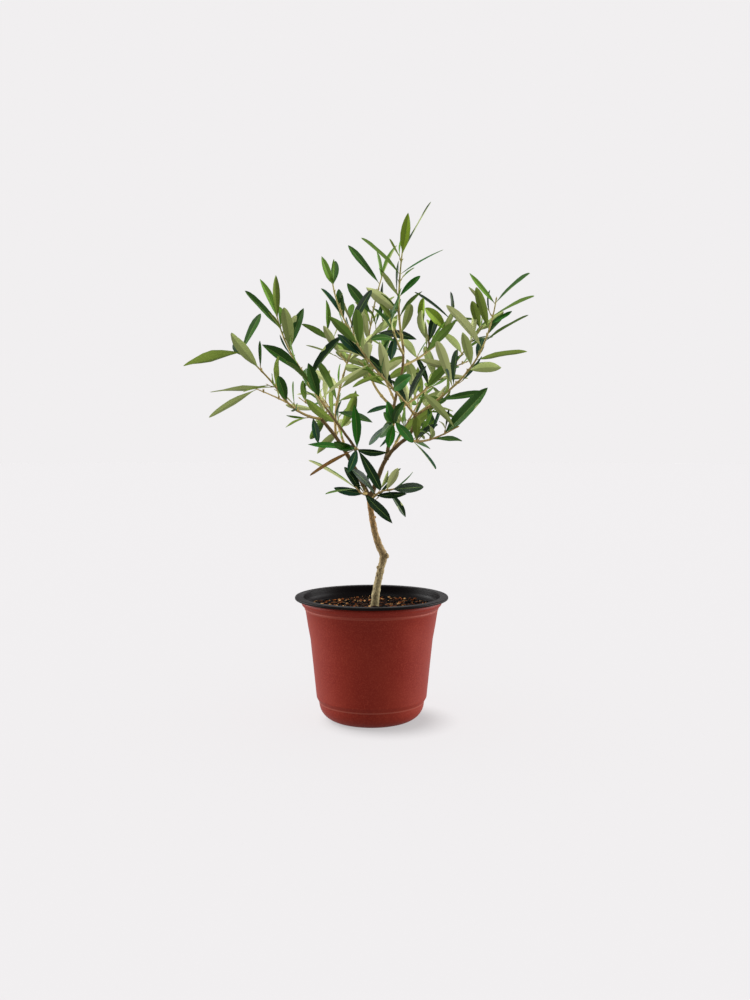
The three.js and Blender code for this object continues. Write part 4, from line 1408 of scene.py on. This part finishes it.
# %% [markdown]
# Leaf colours are plain, and vary from leaf to leaf and spray to spray as the plant's do: mostly
# deep green above, some bluish, some fresh, a few yellow-green, and olive to sage below. Every
# colour has a shaded twin for the half of a folded blade that is turned away from the sky. A fine
# bump gives the leathery grain, and a low sheen the soft shine.

# %% The leaf finishes
UPPER_SORTS = [
    ("leaf_deep", screen(16, 39, 14), 0.29),
    ("leaf_blue", screen(25, 56, 35), 0.17),
    ("leaf_mid", screen(42, 75, 24), 0.22),
    ("leaf_vivid", screen(32, 88, 18), 0.12),
    ("leaf_fresh", screen(80, 113, 34), 0.13),
    ("leaf_yellow", screen(120, 145, 42), 0.07),
]
UNDER_SORTS = [
    ("under_sage", screen(136, 148, 88), 0.34),
    ("under_olive", screen(105, 123, 50), 0.28),
    ("under_green", screen(84, 110, 44), 0.20),
    ("under_pale", screen(166, 173, 116), 0.18),
]
DRY_UPPER, DRY_UNDER = ("leaf_dry", screen(104, 74, 36), 0), ("under_dry", screen(116, 84, 42), 0)
RIB_SORT = ("leaf_rib", screen(80, 102, 46), 0)
STALK_SORT = ("leaf_stalk", screen(116, 118, 60), 0)
UPPER_ROUGHNESS, UNDER_ROUGHNESS, STALK_ROUGHNESS = 0.46, 0.72, 0.6
TWIN_SHADE = 0.68


def leaf_finish(name, colour, roughness):
    finish, shader = new_finish(name, colour, roughness, 0.07)
    relief(finish, shader, clouds(finish, 900, 2), 0.0001, 0.35)
    return finish


def shaded(sorts):
    return [(name + "_shaded", tuple(TWIN_SHADE * value for value in colour), 0)
            for name, colour, _ in sorts]


upper_sorts, under_sorts = [*UPPER_SORTS, DRY_UPPER], [*UNDER_SORTS, DRY_UNDER]
leaf_finishes = []
for sorts, roughness in ((upper_sorts, UPPER_ROUGHNESS), (under_sorts, UNDER_ROUGHNESS),
                         (shaded(upper_sorts), UPPER_ROUGHNESS), (shaded(under_sorts), UNDER_ROUGHNESS),
                         ([RIB_SORT, STALK_SORT], STALK_ROUGHNESS)):
    leaf_finishes += [leaf_finish(name, colour, roughness) for name, colour, _ in sorts]
finish_names = [finish.name for finish in leaf_finishes]
TO_TWIN = len(upper_sorts) + len(under_sorts)
print(len(leaf_finishes), "leaf finishes")

# %% [markdown]
# A spray shares a leaning towards one green, and each leaf then strays from it a little. Leaves low
# in the crown are dealt the deep greens more often: a painted shade, for the shade of the leaves
# above. Young leaves at the end of a shoot are paler. Leaves that stand out, near the front or at the
# crown's edge, have a colour of their own, such as the one dry brown leaf low on the left. Width,
# fold, curl, twist and wave are drawn for each leaf too, so no two are alike.

# %% The look of one leaf
# Heights in millimetres: below the first, the painted shade of the low crown is full; above the second, it
# is gone.
SHADE_LEAN_HEIGHTS = (240, 360)
LOW_SHADE_LEAN = 0.55
YOUNG_FROM = 0.85
YOUNG_CHANCE = 0.4
# For each mass, the place of a leaf in its twig's list, and its finish.
OWN_COLOURS = {
    "left_low": {0: "under_sage", 1: "under_olive"},
    "left_upper": {1: "under_sage", 3: "leaf_mid", 4: "under_olive"},
    "left_front": {0: "leaf_vivid", 1: "leaf_deep", 2: "leaf_vivid", 3: "under_dry"},
    "crossing": {4: "leaf_fresh", 5: "leaf_mid"},
    "top": {0: "leaf_yellow"},
    "middle_front": {0: "leaf_vivid", 1: "leaf_vivid"},
    "rear_centre": {2: "leaf_mid"},
    "right_upper": {0: "leaf_mid", 1: "leaf_fresh", 2: "under_olive", 6: "under_olive", 7: "under_sage"},
    "right_low": {0: "leaf_mid"},
    "fork_right": {0: "under_pale"},
}


def leaf_shape(draw):
    return {"breadth": 0.74 + 0.32 * draw(), "point": 0.5 + 0.5 * draw(), "twist": 0.6 * (draw() - 0.5),
            "fold": 0.2 + 0.4 * draw(), "curl": 0.05 + 0.22 * draw(), "wave": 0.16 * draw(),
            "phase": 6 * draw(), "sway": 0.14 * (draw() - 0.5)}


def leaf_colours(spray, leaf, own, draw):
    """Indices of the upper and under finishes; low leaves lean to the deep greens, a painted shade."""
    # painted shade: the lower the leaf, the more its pick leans to the deep greens
    lean = LOW_SHADE_LEAN + (1 - LOW_SHADE_LEAN) * smooth(*SHADE_LEAN_HEIGHTS, leaf["base"].z)
    upper = pick_sort((spray * 0.55 + draw() * 0.75) % 1 * lean, UPPER_SORTS)
    if leaf["at"] > YOUNG_FROM and draw() < YOUNG_CHANCE:
        upper = finish_names.index("leaf_fresh")
    under = len(upper_sorts) + pick_sort(draw(), UNDER_SORTS)
    if own == "under_dry":
        upper = finish_names.index("leaf_dry")
    if own and own.startswith("under"):
        under = finish_names.index(own)
    elif own:
        upper = finish_names.index(own)
    return upper, under


def finishes_of_parts(leaf, upper, under):
    """The finish of each part; the half that is turned away from the sky takes the shaded twin."""
    right_is_high = leaf["ahead"].cross(leaf["up"]).z > 0
    return {
        TOP_LEFT: upper if right_is_high else upper + TO_TWIN,
        TOP_RIGHT: upper + TO_TWIN if right_is_high else upper,
        UNDER_LEFT: under + TO_TWIN if right_is_high else under,
        UNDER_RIGHT: under if right_is_high else under + TO_TWIN,
        RIB: finish_names.index(RIB_SORT[0]),
        STALK: finish_names.index(STALK_SORT[0]),
    }


# %% [markdown]
# All leaves go into one mesh: those of the twigs first, then the young ones of the spurs. Edges
# sharper than sixty degrees, which are the margins, stay sharp, so each face of a blade is shaded
# smoothly by itself.

# %% The leaves
LEAF_SEED = 9000
YOUNG_LEAF_SEED = 77
DRY_LEAF_SHRINK = 0.62
MARGIN_ANGLE = math.radians(60)

corners, faces, finish_of_face = [], [], []


def add_leaf(leaf, spray, draw, own=None, breadth=1):
    start = len(corners)
    shape = leaf_shape(draw)
    shape["breadth"] *= DRY_LEAF_SHRINK if own == "under_dry" else breadth
    corners.extend(leaf_points(leaf, shape))
    finish_of_part = finishes_of_parts(leaf, *leaf_colours(spray, leaf, own, draw))
    faces.extend([start + corner for corner in face] for face in LEAF_FACES)
    finish_of_face.extend(finish_of_part[part] for part in LEAF_PARTS)


for order, twig in enumerate(twigs):
    draw = random_of(LEAF_SEED + order)
    spray = draw()
    for index, leaf in enumerate(twig["leaves"]):
        add_leaf(leaf, spray, draw, OWN_COLOURS.get(twig["mass"], {}).get(index))
draw = random_of(YOUNG_LEAF_SEED)
for spur in spurs:
    spray = draw()
    for leaf in spur["leaves"]:
        add_leaf(leaf, spray, draw, breadth=YOUNG_LEAF_BREADTH)

mesh = bpy.data.meshes.new("leaf_arrays")
mesh.from_pydata([corner * MM for corner in corners], [], faces)
mesh.polygons.foreach_set("material_index", finish_of_face)
bm = bmesh.new()
bm.from_mesh(mesh)
bpy.data.meshes.remove(mesh)
for edge in bm.edges:
    edge.smooth = edge.calc_face_angle(0) <= MARGIN_ANGLE
add_piece("leaves", bm, leaf_finishes, FOLIAGE_NODES)
